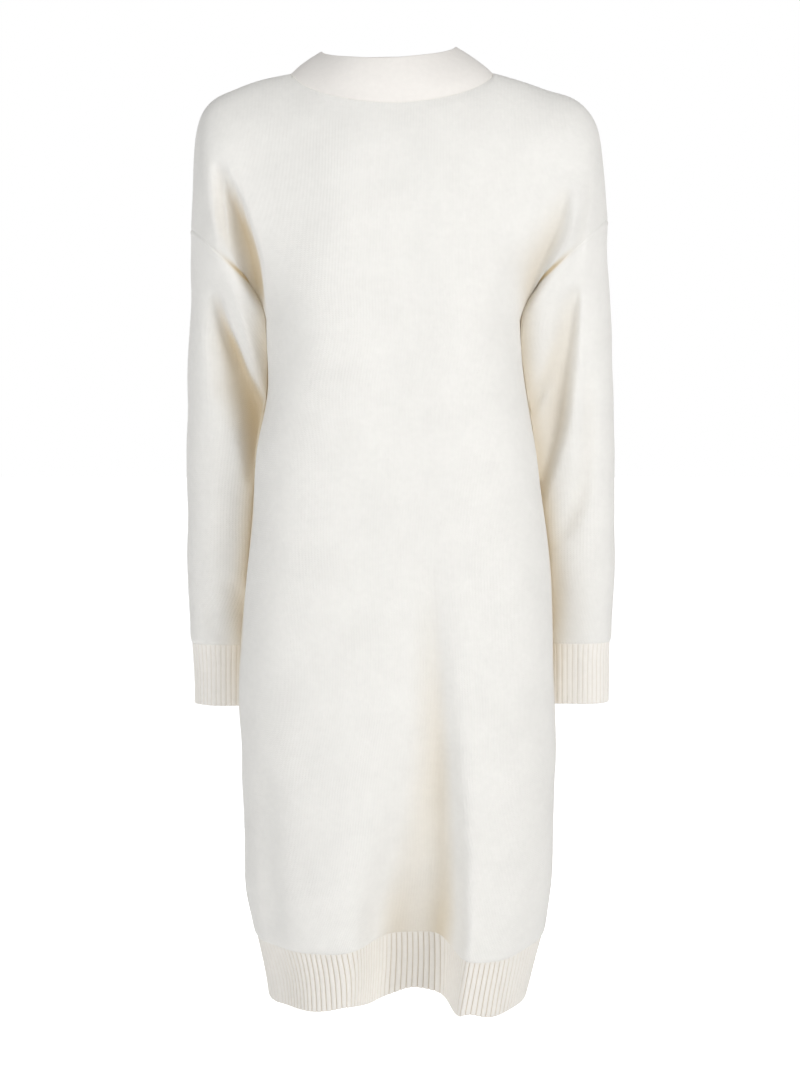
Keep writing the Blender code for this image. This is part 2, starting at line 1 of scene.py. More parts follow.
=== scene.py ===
"""A fine-knit sweater dress, each piece worked out as a sheet of knit on the form of its solid.

A piece is a grid of points on its outer face. Its rows run up the cloth and its columns across
it, from the wearer's right to left or once round a tube. Sizes are in millimetres until the
meshes are made. +Z is up, the front faces -Y and the wearer's left is +X.
"""
from math import pi, radians

import bpy
import numpy as np
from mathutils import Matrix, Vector


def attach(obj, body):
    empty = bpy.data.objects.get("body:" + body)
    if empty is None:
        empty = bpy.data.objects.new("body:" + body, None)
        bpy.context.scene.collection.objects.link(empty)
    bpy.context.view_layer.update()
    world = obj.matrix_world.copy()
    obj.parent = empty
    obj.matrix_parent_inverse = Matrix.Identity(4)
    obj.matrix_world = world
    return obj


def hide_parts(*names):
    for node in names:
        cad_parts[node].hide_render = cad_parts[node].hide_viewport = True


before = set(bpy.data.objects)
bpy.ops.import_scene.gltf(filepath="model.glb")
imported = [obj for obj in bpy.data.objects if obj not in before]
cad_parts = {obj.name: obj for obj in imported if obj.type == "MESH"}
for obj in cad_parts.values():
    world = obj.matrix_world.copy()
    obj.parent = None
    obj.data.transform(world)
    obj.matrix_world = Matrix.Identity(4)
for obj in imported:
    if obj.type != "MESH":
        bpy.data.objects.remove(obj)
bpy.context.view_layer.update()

MM = 0.001
# Keeps a comparison or a division off an exact zero.
TINY = 1e-9

# ---- the form, as in the solids ----
UNDERARM_DROP = 238
HEM_RIB_DROP = 929
HEM_DROP = 990
HEM_SAG = {"front": 11, "back": 4}
HEM_SAG_POWER = 0.6
HEM_FOLD_LIFT = {"front": 10, "back": 3}

NECK_X = -3
NECK_HALF_WIDTH = 110
NECK_SIDE_Z = 1.5
NECK_DROP = {"front": 43, "back": 15}
NECK_DIP_POWER = 1.2
ARCH_RISE = 15
ARCH_MIDDLE_SPREAD = 0.54
NECKLINE_ROUNDS = 12

COLLAR_TOP_X = -7
COLLAR_TOP_HALF_WIDTH = 74
COLLAR_SIDE_RISE = {"right": 26, "left": 31}
COLLAR_TOP = {"front": {"depth": 66, "dip": 21}, "back": {"depth": 50, "dip": 0}}
COLLAR_SWELL = 2.5
COLLAR_HEIGHT = 50
# Points of the neck further back than this belong to the back panel.
SHOULDER_PLANE_Y = 0.05

SHOULDER_SHARE = 0.26
ARMHOLE_FADE = 0.12
UNDERARM_DIP = 30
DIP_SHARES = {"rise": 0.11, "fall": 0.42}

FRONT, BACK = -1, 1
RIGHT, LEFT = -1, 1
FACE = {FRONT: "front", BACK: "back"}


def table(columns, *rows):
    """Rows of numbers as named columns."""
    return dict(zip(columns.split(), np.array(rows, dtype=float).T))


# Plan of the body tube at each drop below the origin.
TORSO = table(
    "drop right left front back square",
    (238, -143, 141, 119, 98, 2.9),
    (290, -139, 136, 122, 96, 3.0),
    (345, -138, 142, 121, 92, 3.0),
    (400, -148, 151, 119, 89, 3.0),
    (460, -153, 159, 118, 88, 3.0),
    (530, -159, 168, 117, 92, 2.9),
    (600, -166, 171, 117, 99, 2.8),
    (680, -169, 173, 118, 105, 2.7),
    (760, -165, 174, 118, 108, 2.6),
    (840, -164, 171, 117, 107, 2.5),
    (893, -160, 168, 115, 105, 2.5),
    (929, -150, 160, 112, 101, 2.5),
    (960, -142, 151, 109, 97, 2.5),
    (990, -138, 143, 107, 94, 2.5),
)
# A section or a climb is round at 2 and squarer above it. The front's is in the table.
BACK_SQUARE = 2.4
CLIMB_SQUARE = {FRONT: 2.0, BACK: 2.5}
BUST = {"x": 66, "drop": 262, "reach_x": 58, "reach_z": 78, "depth": 8}

# Long soft folds that run down to the hem.
FRONT_MIDDLE_FOLD = table(
    "drop x depth reach_right reach_left square square_left",
    (470, 40, 0, 26, 16, 2.0, 2.0),
    (570, 38, 6, 30, 17, 2.0, 2.0),
    (680, 41, 19, 38, 20, 2.0, 2.3),
    (760, 41, 31, 46, 25, 2.2, 2.8),
    (850, 34, 47, 54, 35, 3.0, 4.2),
    (929, 25, 68, 54, 41, 4.0, 6.5),
    (990, 20, 78, 54, 41, 4.5, 7.5),
)
FRONT_FLANK_FOLD = table(
    "drop x depth reach_right reach_left square",
    (700, -136, 0, 14, 14, 2.0),
    (850, -134, 8, 14, 14, 2.0),
    (990, -118, 10, 12, 15, 2.0),
)
BACK_RIGHT_FOLD = table(
    "drop x depth reach_right reach_left square",
    (520, -52, 0, 28, 28, 2.0),
    (700, -58, 10, 30, 30, 2.0),
    (850, -56, 28, 34, 36, 2.4),
    (990, -46, 46, 36, 38, 3.0),
)
BACK_LEFT_FOLD = table(
    "drop x depth reach_right reach_left square",
    (600, 78, 0, 26, 26, 2.0),
    (760, 76, 9, 28, 28, 2.0),
    (880, 70, 22, 30, 28, 2.2),
    (990, 66, 34, 32, 28, 2.6),
)
HEM_FOLDS = {
    FRONT: (FRONT_MIDDLE_FOLD, FRONT_FLANK_FOLD),
    BACK: (BACK_RIGHT_FOLD, BACK_LEFT_FOLD),
}

# The shoulder seams as seen from the front, from the armhole's top to the neckline.
SHOULDER_SEAM = {
    RIGHT: table(
        "x z",
        (-222, -168), (-221, -141), (-218, -92), (-213.5, -54), (-207, -37.5), (-196, -25.5),
        (-179, -17.4), (-161, -10.9), (-139.5, -4.6), (NECK_X - NECK_HALF_WIDTH, NECK_SIDE_Z),
    ),
    LEFT: table(
        "x z",
        (231, -158), (229, -124), (224, -78), (218, -55), (208, -38), (193, -25.5), (169, -17.4),
        (150, -10.9), (127.5, -4.6), (NECK_X + NECK_HALF_WIDTH, NECK_SIDE_Z),
    ),
}
ARMHOLE_DEPTH = {
    RIGHT: {"front": 70, "back": 62},
    LEFT: {"front": 65, "back": 57},
}
ARMHOLE_BULGE = table(
    "share part",
    (0.00, 1.00), (0.065, 0.76), (0.13, 0.47), (0.20, 0.18), (0.26, 0.055), (0.32, 0.010),
    (0.38, 0.00), (0.50, 0.00),
)
# Rings of each sleeve along its middle, from the armhole's own to the cuff's end.
SLEEVE_COLUMNS = "along outer_x outer_z inner_x inner_z y front back"
SLEEVE = {
    RIGHT: table(
        SLEEVE_COLUMNS,
        (0, -222, -168, -143, -UNDERARM_DROP, 0, 70, 62),
        (11, -222, -181, -138, -248, 1, 69, 61),
        (50, -223, -226, -122, -286, 13, 62, 54),
        (115, -227, -306, -120, -336, 20, 55, 50),
        (190, -229, -392, -136, -404, 24, 48, 46),
        (270, -229, -478, -149, -482, 31, 43, 42),
        (350, -229, -560, -153, -560, 34, 41, 40),
        (408, -224, -620, -154, -620, 36, 36, 36),
        (474, -222, -686, -154, -686, 36, 33, 33),
    ),
    LEFT: table(
        SLEEVE_COLUMNS,
        (0, 231, -158, 141, -UNDERARM_DROP, 0, 65, 57),
        (11, 231, -171, 136, -248, 2, 64, 56),
        (50, 234, -216, 122, -286, 12, 60, 51),
        (115, 238, -300, 122, -336, 20, 54, 49),
        (190, 241.5, -388, 139, -404, 24, 48, 46),
        (270, 242, -476, 155, -482, 31, 43, 42),
        (350, 242, -558, 164, -560, 34, 41, 40),
        (408, 238, -619, 167, -619, 36, 36, 36),
        (474, 236, -684, 167, -684, 36, 33, 33),
    ),
}
CUFF_ALONG = {"seam": 408, "end": 474}
# A sleeve's inner front is squarer than round where it hangs against the body.
SLEEVE_FULL = {"square": 4.4, "along": (0, 34)}
# The length over which a sleeve turns into the armhole's own edge.
JOIN_LENGTH = 62
SLEEVE_CLEARANCE = 0.4
CLEARANCE_REACH = 24
CONTACT_SOFTNESS = 0.005

# Folds pressed into the cloth, each a line that runs down it: the line's x at each drop, the
# reach of the fold on the wearer's right and left of it, and its depth. A negative depth is a
# ridge, and a short reach is a steep side.
FOLD_COLUMNS = "drop x reach_right reach_left depth"


def fold(*rows):
    """One fold's table."""
    return table(FOLD_COLUMNS, *rows)


PANEL_FOLDS = {
    FRONT: (
        # right yoke: the chest's edge stands over a hollow that widens down to the underarm
        fold(
            (96, -187, 6, 5, 0), (116, -182, 7, 5, 5), (141, -170, 12, 5, 18),
            (165, -160, 17, 5, 27), (188, -152, 19, 5, 31), (208, -147, 17, 5, 32),
            (232, -144.5, 14, 5, 31), (256, -143, 10, 5, 14), (285, -141, 7, 5, 3),
            (308, -140, 6, 5, 0),
        ),
        fold((92, -190, 6, 5, 0), (120, -187, 6, 4, 3), (170, -182, 6, 4, 3.5), (205, -178, 6, 5, 0)),
        # left yoke
        fold(
            (120, 182, 8, 6, 0), (140, 179, 13, 7, 6), (165, 174, 20, 8, 12), (190, 164, 24, 9, 16),
            (210, 153, 21, 9, 18), (230, 146, 16, 8, 19), (254, 141, 12, 6, 13),
            (282, 139, 7, 5, 4), (304, 138, 6, 5, 0),
        ),
        fold((96, 205, 7, 6, 0), (140, 203, 7, 6, 2), (190, 196, 7, 6, 2.5), (225, 192, 6, 6, 0)),
        # small creases over the hem
        fold((786, 70, 5, 9, 0), (808, 83, 5, 9, 1.5), (834, 99, 5, 9, 0)),
        fold((838, 84, 6, 8, 0), (862, 88, 6, 8, 1.2), (892, 96, 6, 8, 0)),
    ),
    BACK: (
        fold((95, -192, 13, 9, 0), (160, -170, 14, 9, 12), (225, -148, 12, 9, 0)),
        fold((95, 196, 9, 13, 0), (160, 172, 9, 14, 12), (225, 148, 9, 12, 0)),
    ),
}
SLEEVE_FOLDS = {
    FRONT: (
        # right sleeve: a roll beside the body, over a hollow that deepens down to the elbow
        fold(
            (232, -195, 8, 6, 0), (254, -188, 9, 5, 12), (280, -180, 12, 5, 23),
            (302, -171, 16, 5, 29), (328, -161, 21, 6, 31), (356, -149, 27, 7, 36),
            (392, -150, 16, 8, 27), (422, -153, 9, 7, 12), (452, -155, 6, 6, 0),
        ),
        fold(
            (216, -178, 9, 9, 0), (246, -169, 9, 9, -4), (300, -153, 8, 8, -6),
            (338, -143, 6, 6, -4), (360, -140, 6, 6, 0),
        ),
        fold((240, -203, 8, 8, 0), (300, -196, 8, 8, 3.5), (365, -188, 8, 8, 0)),
        fold((540, -176, 12, 7, 0), (582, -166, 12, 7, 5), (622, -156, 12, 7, 0)),
        fold((560, -208, 9, 9, 0), (590, -203, 9, 9, 2.5), (618, -199, 9, 9, 0)),
        # left sleeve
        fold(
            (225, 195, 8, 6, 0), (250, 192, 17, 6, 9), (290, 188, 24, 7, 15), (332, 183, 27, 8, 18),
            (386, 175, 23, 8, 18), (424, 164, 13, 8, 12), (448, 158, 8, 7, 6), (476, 156, 6, 6, 0),
        ),
        fold((262, 184, 8, 8, 0), (290, 175, 8, 8, 2), (332, 161, 8, 8, 5), (359, 150, 7, 6, 4),
             (382, 145, 6, 6, 0)),
        fold((310, 207, 9, 9, 0), (354, 209, 10, 9, 4), (420, 207, 11, 9, 5), (461, 201, 11, 9, 5),
             (490, 188, 10, 9, 4), (516, 172, 8, 8, 0)),
        fold((510, 181, 8, 12, 0), (564, 175, 8, 12, 3.5), (618, 170, 8, 12, 0)),
    ),
    BACK: (
        fold((250, -202, 13, 13, 0), (310, -178, 13, 13, 9), (372, -156, 13, 13, 0)),
        fold((250, 210, 13, 13, 0), (314, 186, 13, 13, 9), (378, 164, 13, 13, 0)),
        fold((458, -190, 12, 9, 0), (505, -175, 12, 9, 5), (552, -160, 12, 9, 0)),
        fold((552, -204, 10, 8, 0), (583, -186, 10, 8, 4), (614, -168, 10, 8, 0)),
        fold((490, 217, 10, 12, 0), (530, 198, 10, 12, 4), (570, 179, 10, 12, 0)),
        fold((558, 200, 8, 10, 0), (587, 186, 8, 10, 5), (616, 172, 8, 10, 0)),
    ),
}
FOLD_END = 16
FOLD_FACING = 34
CRISP_REACH = (5, 8)

# ---- the knit ----
PANEL_WALL = 2.0
RIB_WALL = 2.6
COLLAR_WALL = 3.4
# The length over which a thicker wall thins to a panel's at a seam.
WALL_FADE = 9.0
WALE = 3.2
COURSE = 2.3
# The width of a body panel laid flat.
PANEL_FLAT_WIDTH = 470
RIB_PITCH = {"hem": 5.8, "cuff": 5.7}
RIB_RISE = {"hem": 1.6, "cuff": 1.3}
# A rib cord is round at 2 and broader, with a narrower groove, above it.
RIB_BROAD = 4.4
CUFF_STRENGTH = 0.62
RIB_START = 4.0
# The inner face's cords, as parts of the outer cords' rise.
INNER_RIB = {"rise": 0.7, "sunk": 0.4}
RIB_PUFF = {"height": 1.4, "from_seam": 7.0}
# A linked seam sinks between the rolls of its two edges, least of all at the neck.
SEAM_SINK = {"depth": 0.5, "reach": 1.1}
SEAM_ROLL = {"height": 0.45, "from_edge": 3.0, "reach": 1.6}
NECK_SEAM = 0.15
ARMHOLE_ROLL = 1.6
# The climbs between which the armhole's seam grows from nothing to its full depth, and the
# distance from a seam in which the cloth's swells and the underarm's painted shade fade.
ARMHOLE_DRAWN = (0.3, 0.75)
UNDERARM_FADE = 22
CALM_REACH = 14
# Linking stitches round the neck: slanted beads of yarn, by their pitch and size.
LINKING = {
    "pitch": 3.1, "length": 2.6, "width": 0.9, "height": 0.8, "slant": 38, "raised": 0.05,
    "lifted": 0.3, "up_row": 3, "rings": 5, "around": 6,
}
# Courses climb at least this part of the cloth's own length where the wales spread.
LEAST_CLIMB = 0.2

# Waves of the cloth's slow swells, by their radians per millimetre along each axis.
SWELLS = table(
    "x y z phase height",
    (0.071, 0.020, 0.033, 0.3, 0.32),
    (-0.045, 0.031, 0.058, 1.7, 0.36),
    (0.024, -0.050, 0.047, 4.1, 0.40),
    (0.092, 0.035, -0.061, 2.6, 0.20),
    (-0.030, 0.066, -0.098, 5.2, 0.16),
)

# How far the hem's seam and edge hang below their even height, across the front.
HEM_SHIFT = table(
    "x seam edge",
    (-165, 0, 0), (-131, 2, -1), (-110, 4, -3), (-80, 4, -4.5), (-62, 3, -8.5), (-48, 1, -10.5),
    (-37, -1, -6.5), (-26, -3, 0), (-14, -5, 2), (-2, -6.5, 0.5), (14, -7, -4.5), (36, -7, -3),
    (50, -3, 0.5), (60, 5, 1), (74, 11, -3), (90, 13, 1), (104, 13, 4), (120, 11, 2), (138, 5, 0),
    (172, 0, 0),
)
HEM_SHIFT_REACH = 90
# Ribs stand out on the hem's lobes and middle, and are drawn flat in between.
RIB_STRENGTH = {
    FRONT: table(
        "x part",
        (-150, 0.25), (-120, 0.3), (-110, 1), (-30, 1), (-21, 0.5), (-12, 0.6), (-4, 1),
        (50, 1), (57, 0.45), (63, 0.6), (68, 1), (114, 1), (126, 0.45), (150, 0.3),
    ),
    BACK: table(
        "x part",
        (-150, 0.3), (-118, 0.9), (-84, 1), (-72, 0.6), (-60, 1), (-24, 0.9), (-8, 0.7), (6, 1),
        (40, 1), (50, 0.6), (60, 1), (88, 0.8), (104, 1), (126, 0.8), (146, 0.3),
    ),
}
# Ribs of the lobes lean this far towards the wearer's left on their way down.
RIB_LEAN = {
    FRONT: table(
        "x lean", (-150, 0), (-120, 5), (-100, 0), (-85, -4), (-50, -4), (0, 0), (50, 3.5),
        (80, 6.5), (112, 9), (128, 6), (150, 0),
    ),
    BACK: table("x lean", (-150, 0), (-90, -4), (-20, 3), (60, -3), (110, -8), (150, 0)),
}

# ---- fineness of the grids ----
NECK_END_SHARES = (0, 0.0025, 0.006, 0.011)
TOP_CROWDING = {"part": 0.75, "most": 8}
PANEL_COLUMNS = 150
SIDE_CROWDING = 0.4
TORSO_ROWS = 150
YOKE_ROWS = 62
SLEEVE_HALF_COLUMNS = 72
SLEEVE_ROWS = 120
RIB_STEPS = 9
TRIAL_COLUMNS = 240
RIB_ROWS = 16
COLLAR_COLUMNS = 96
COLLAR_ROWS = 16
EDGE_STEPS = 4
INNER_ROUNDS = 10
SECTION_STEPS = 1441
LEVELS = 95
# Rows and columns that lie this far from a seam, so that its dip is smooth. The even ones start
# at the margin, counted in the last distance.
SEAM_LINES = (0.6, 1.3, 2.1, 3.2, 4.8)
SEAM_MARGIN = 1.3

# ---- shade, yarn and light ----
# Painted shade, a darker and warmer yarn colour put where shade falls: in hollows below the
# smoothed form, in folds, and where the sleeves and the body's sides lie close to each other. A
# point on a side counts where it faces sideways, to the power turn, and isn't behind. The
# underarm's crease is closer than touching sides.
PAINTED_SHADE_MASK = {"rounds": 80, "hollow": 14.0, "pressed": 32, "power": 1.5, "contact": 0.68}
BESIDE_ARM = {"from": (178, 296), "to": (560, 760), "turn": 5, "behind": (-46, -24), "gap": 13.5}
UNDERARM = {"contact": 2.6, "power": 4}
# How far the painted shade turns the yarn's colour, and the tones of painted shade for hollows, folds
# and close sides and for the grooves between rib cords.
PAINTED_SHADE_TINT = 0.85
PAINTED_SHADE_COLOURS = {"painted_shade": (0.55, 0.465, 0.325), "groove": (0.62, 0.52, 0.39)}
# Painted glow: an emitted colour in the closest hollows, as strong as their painted shade, that
# stands in for light coming through thin knit.
PAINTED_GLOW = (0.10, 0.074, 0.039)

# Each knit: the colour of its yarn, its wale and course, the depth of its stitches, how much
# painted shade darkens their grooves, and how far painted shade takes the grooves between its
# ribs to its darker groove tone.
KNITS = {
    "plain_knit": ((0.88, 0.867, 0.835), WALE, COURSE, 0.5, 0.13, 0.5),
    "rib_knit": ((0.88, 0.85, 0.80), 2.9, COURSE, 0.4, 0.08, 0.8),
    # The cuffs' rib: warmer yarn, and painted lighter than the hem's to make up for the shade on the
    # cuffs.
    "cuff_knit_painted_lighter": ((0.93, 0.90, 0.85), 2.9, COURSE, 0.4, 0.08, 0.6),
    # The collar's yarn: warmer, and painted darker than the panels' to make up for the more light it
    # gets.
    "collar_knit": ((0.855, 0.825, 0.79), 2.0, 1.6, 0.15, 0.04, 0.3),
}
LINKING_YARN = (0.86, 0.835, 0.79)
YARN = {"Roughness": 0.92, "Specular IOR Level": 0.25}
KNIT_SHEEN = {"Sheen Weight": 0.12, "Sheen Roughness": 0.5}
# A stitch: how square its legs and its ends are, how steeply it slants, and how high its ends are.
STITCH = {"leg_square": 2.2, "end_square": 2.5, "slant": 1.7, "end_height": 0.45}
STITCH_BUMP = 0.55
FIBRE_BUMP = 0.35
# Noises: scale, detail and roughness.
FUZZ = {"Fibre": (900, 3, 0.7), "Mottle": (170, 3, 0.6), "Uneven": (26, 2, 0.5)}
# What a noise does to the tone, as a factor and an offset.
GROOVE_BREAKS = (2.4, -0.7)
UNEVEN_TONE = (0.05, 0.975)
MOTTLED_TONE = (0.08, 0.96)

PAPER = {"Base Color": (0.9, 0.9, 0.9, 1), "Roughness": 0.9, "Specular IOR Level": 0}
FLOOR = {"z": -1.42, "half": 60.0, "glow": 0.27}
CAMERA = {"place": (0.00545, -2.3, -0.40), "view_height": 1.163, "view_below": 0.0987}
SENSOR = 36
WHITE = (1, 1, 1, 1)
SOFTBOXES = [
    # name, place, aimed at, size, watts, colour
    ("key", (2.1, -2.3, 0.85), (0, 0, -0.40), 1.5, 57.5, (1.0, 0.995, 0.985)),
    ("fill", (-2.1, -2.4, 0.75), (0, 0, -0.40), 1.5, 37.5, (0.985, 0.995, 1.0)),
    ("back", (-0.8, 3.1, 0.1), (0, 0, -0.5), 2.0, 50, (0.99, 0.995, 1.0)),
]
AMBIENT = 0.255


def through(keys, values, at):
    """The natural cubic spline through (key, value) pairs. Where values has columns, at has a
    column of places for each of them."""
    values = np.asarray(values, dtype=float)
    in_columns = values.ndim > 1
    step = np.diff(keys)
    slope = np.diff(values, axis=0) / (step[:, None] if in_columns else step)
    system = np.eye(len(keys))
    target = np.zeros_like(values)
    for i in range(1, len(keys) - 1):
        system[i, i - 1:i + 2] = step[i - 1], 2 * (step[i - 1] + step[i]), step[i]
        target[i] = 6 * (slope[i] - slope[i - 1])
    bend = np.linalg.solve(system, target)
    at = np.clip(at, keys[0], keys[-1])
    i = np.clip(np.searchsorted(keys, at, side="right") - 1, 0, len(keys) - 2)

    def pick(numbers, places):
        return np.take_along_axis(numbers, places, axis=0) if in_columns else numbers[places]

    before = (keys[i + 1] - at) / step[i]
    after = 1 - before
    curve = (before ** 3 - before) * pick(bend, i) + (after ** 3 - after) * pick(bend, i + 1)
    return before * pick(values, i) + after * pick(values, i + 1) + curve * step[i] ** 2 / 6


def ease(low, high, at):
    """0 at low, 1 at high, with level ends: 3t^2 - 2t^3."""
    part = np.clip((at - low) / (high - low), 0, 1)
    return part * part * (3 - 2 * part)


def fade(start, end, at):
    """1 at start, 0 at end, with level ends."""
    return 1 - ease(start, end, at)


def at_drop(columns, name, drop):
    """A column of a table keyed by drop, read at one drop."""
    return through(columns["drop"], columns[name], drop)


def reach_beside(line, offset, drop):
    """A fold's reach on that side of its line on which each point lies."""
    return np.where(
        offset > 0, at_drop(line, "reach_left", drop), at_drop(line, "reach_right", drop))


def fold_shape(line, x, drop):
    """How much of a hem fold's depth is reached at x: exp(-(|x - middle| / reach)^square)."""
    offset = x - at_drop(line, "x", drop)
    left_square = "square_left" if "square_left" in line else "square"
    square = np.where(
        offset > 0, at_drop(line, left_square, drop), at_drop(line, "square", drop))
    return np.exp(-(np.abs(offset) / reach_beside(line, offset, drop)) ** square)


def line_lengths(x, y):
    """Length along a line from its first point to each of its points."""
    return np.concatenate([[0], np.cumsum(np.hypot(np.diff(x), np.diff(y)))])


def half_section(drop, side, shares):
    """Plan of the body's front or back at one drop, x and y at shares of its length.

    A superellipse, x = a sin^(2/n), y = b cos^(2/n), pushed out by the bust and in by the folds.
    """
    right, left, depth = (at_drop(TORSO, name, drop) for name in ("right", "left", FACE[side]))
    turn = np.linspace(-pi / 2, pi / 2, SECTION_STEPS)
    power = 2 / (at_drop(TORSO, "square", drop) if side == FRONT else BACK_SQUARE)
    around = np.cos(turn).clip(0, 1) ** power
    x = (left + right) / 2 + (left - right) / 2 * np.sign(turn) * np.abs(np.sin(turn)) ** power
    y = depth * around
    if side == FRONT:
        height = np.exp(-((drop - BUST["drop"]) / BUST["reach_z"]) ** 2)
        for bust_x in (-BUST["x"], BUST["x"]):
            y += BUST["depth"] * height * np.exp(-((x - bust_x) / BUST["reach_x"]) ** 2) * around
    for line in HEM_FOLDS[side]:
        y -= at_drop(line, "depth", drop) * fold_shape(line, x, drop) * around
    length = line_lengths(x, y)
    at = shares * length[-1]
    return np.interp(at, length, x), side * np.interp(at, length, y)


def body_tube(side, shares, drops):
    """Points of the body's front or back, splined down the drops through its sections."""
    levels = np.linspace(UNDERARM_DROP, HEM_DROP, LEVELS)
    plan = np.array([half_section(level, side, shares) for level in levels])
    x, y = (through(levels, plan[:, axis], drops) for axis in (0, 1))
    return np.stack([x, y, -drops], axis=-1)


def underarm_drops(shares):
    """Drop of the grid row that passes through both underarms."""
    edge_share = np.minimum(shares, 1 - shares)
    dip = ease(0, DIP_SHARES["rise"], edge_share) * fade(*DIP_SHARES.values(), edge_share)
    return UNDERARM_DROP + UNDERARM_DIP * dip


def shoulder_line(wearer_side, parts):
    """Points of a shoulder seam at parts of its length, 0 at the armhole and 1 at the neck."""
    seam = SHOULDER_SEAM[wearer_side]
    length = line_lengths(seam["x"], seam["z"])
    return [through(length / length[-1], seam[axis], parts) for axis in ("x", "z")]


def neckline_z(side, x):
    """Height of the neckline seen from the front: side height - drop (1 - u^2)^(power / 2)."""
    from_middle = ((x - NECK_X) / NECK_HALF_WIDTH).clip(-1, 1)
    round_off = np.sqrt(1 - from_middle ** 2) ** NECK_DIP_POWER
    return NECK_SIDE_Z - NECK_DROP[FACE[side]] * round_off


def top_edge(side, shares):
    """The panel's top edge seen from the front, x and z, and the height of the line that the
    panel rounds off towards: the shoulder seams themselves, and an arch over the neckline."""
    middle = body_tube(side, shares, underarm_drops(shares)[None, :])[0]
    offset = np.clip((shares - 0.5) / (0.5 - SHOULDER_SHARE), -1, 1)
    spread = ARCH_MIDDLE_SPREAD * offset + (1 - ARCH_MIDDLE_SPREAD) * offset ** 3
    line_x = NECK_X + NECK_HALF_WIDTH * spread
    line_z = NECK_SIDE_Z + ARCH_RISE * (1 - spread ** 2)
    on_right = shares < SHOULDER_SHARE
    on_left = shares > 1 - SHOULDER_SHARE
    line_x[on_right], line_z[on_right] = shoulder_line(RIGHT, shares[on_right] / SHOULDER_SHARE)
    line_x[on_left], line_z[on_left] = shoulder_line(LEFT, (1 - shares[on_left]) / SHOULDER_SHARE)
    x, z = line_x.copy(), line_z.copy()
    neck = ~(on_right | on_left)
    for _ in range(NECKLINE_ROUNDS):
        z[neck] = neckline_z(side, x[neck])
        reached = (z - middle[:, 2]) / (line_z - middle[:, 2])
        x = middle[:, 0] + (line_x - middle[:, 0]) * reached
    return x, z, line_z


def pressed_in(points, folds):
    """How far folds press the cloth in at each point: depth * exp(-(distance / reach)^square),
    where a short reach has a higher square, and so a crisper edge."""
    drop = -points[..., 2]
    pressed = np.zeros_like(drop)
    for line in folds:
        start, end = line["drop"][[0, -1]]
        inside = ease(start, start + FOLD_END, drop) * fade(end - FOLD_END, end, drop)
        line_x = at_drop(line, "x", drop)
        slope = at_drop(line, "x", drop + 1) - line_x
        offset = (points[..., 0] - line_x) / np.hypot(1, slope)
        reach = reach_beside(line, offset, drop)
        square = 2 + 2 * fade(*CRISP_REACH, reach)
        shape = np.exp(-np.abs(offset / reach) ** square)
        pressed += at_drop(line, "depth", drop) * inside * shape
    return pressed


def fold_in(points, side, folds, middle_y=0.0):
    """Points pressed in along y by a side's folds, less so near the seam plane."""
    facing = ease(0, FOLD_FACING, side * (points[..., 1] - middle_y))
    folded = points.copy()
    folded[..., 1] -= side * facing * pressed_in(points, folds[side])
    return folded


def yoke(side, shares, climbs):
    """The panel above the underarms. climbs run from 0 at the underarm to 1 at the top edge.

    y = chest (1 - progress^n)^(1/n), which rounds off from the chest towards the shoulder line,
    plus the armhole's bulge times sin(pi climb). Each column is straight seen from the front.
    Columns that the neckline cuts short crowd their rows at its edge, level with the others' below.
    """
    bottom = body_tube(side, shares, underarm_drops(shares)[None, :])[0]
    top_x, top_z, line_z = top_edge(side, shares)
    reached = (top_z - bottom[:, 2]) / (line_z - bottom[:, 2])
    edge_share = np.minimum(shares, 1 - shares)
    near_arm = fade(0, ARMHOLE_FADE, edge_share)
    climb = climbs[:, None]
    short = 1 - np.arcsin(reached.clip(0, 1)) / (pi / 2)
    power = (TOP_CROWDING["part"] / short.clip(TINY)).clip(1, TOP_CROWDING["most"])
    from_chest = np.sin(pi / 2 * (climb - short * climb ** power))
    progress = near_arm * (1 - np.cos(pi * climb)) / 2 + (1 - near_arm) * from_chest
    part = progress / reached
    x = bottom[:, 0] + (top_x - bottom[:, 0]) * part
    z = bottom[:, 2] + (top_z - bottom[:, 2]) * part
    square = CLIMB_SQUARE[side]
    y = bottom[:, 1] * (1 - progress.clip(0, 1) ** square) ** (1 / square)
    bulge = through(ARMHOLE_BULGE["share"], ARMHOLE_BULGE["part"], edge_share)
    armhole = np.where(
        shares < 0.5, ARMHOLE_DEPTH[RIGHT][FACE[side]], ARMHOLE_DEPTH[LEFT][FACE[side]])
    y = y + side * bulge * armhole * np.sin(pi * climb)
    return fold_in(np.stack([x, y, z], axis=-1), side, PANEL_FOLDS)


def fine_ends(count, length, ends=(True, True)):
    """Parts of a length from 0 to 1, evenly spaced, with closer ones beside a seamed end."""
    parts = np.linspace(0, 1, count + 1)
    margin = SEAM_MARGIN * SEAM_LINES[-1] / length
    inside = parts[(parts > margin * ends[0]) & (parts < 1 - margin * ends[1])]
    near = np.array(SEAM_LINES) / length
    low = near if ends[0] else []
    high = 1 - near if ends[1] else []
    return np.unique(np.concatenate([[0], low, inside, high, [1]]))


def panel_shares():
    """Shares of a panel's columns: even, and closer beside the side seams and the neck's ends."""
    shares = fine_ends(PANEL_COLUMNS, PANEL_FLAT_WIDTH)
    crowded = shares - SIDE_CROWDING * np.sin(2 * pi * shares) / (2 * pi)
    inside = np.abs(shares - 0.5) < 0.5 - SEAM_LINES[-1] / PANEL_FLAT_WIDTH
    shares = np.where(inside, crowded, shares)
    neck_ends = SHOULDER_SHARE + np.array(NECK_END_SHARES)
    neck_ends = np.concatenate([neck_ends, 1 - neck_ends])
    apart = np.abs(shares[:, None] - neck_ends).min(axis=1) > NECK_END_SHARES[1]
    return np.sort(np.concatenate([shares[apart], neck_ends]))


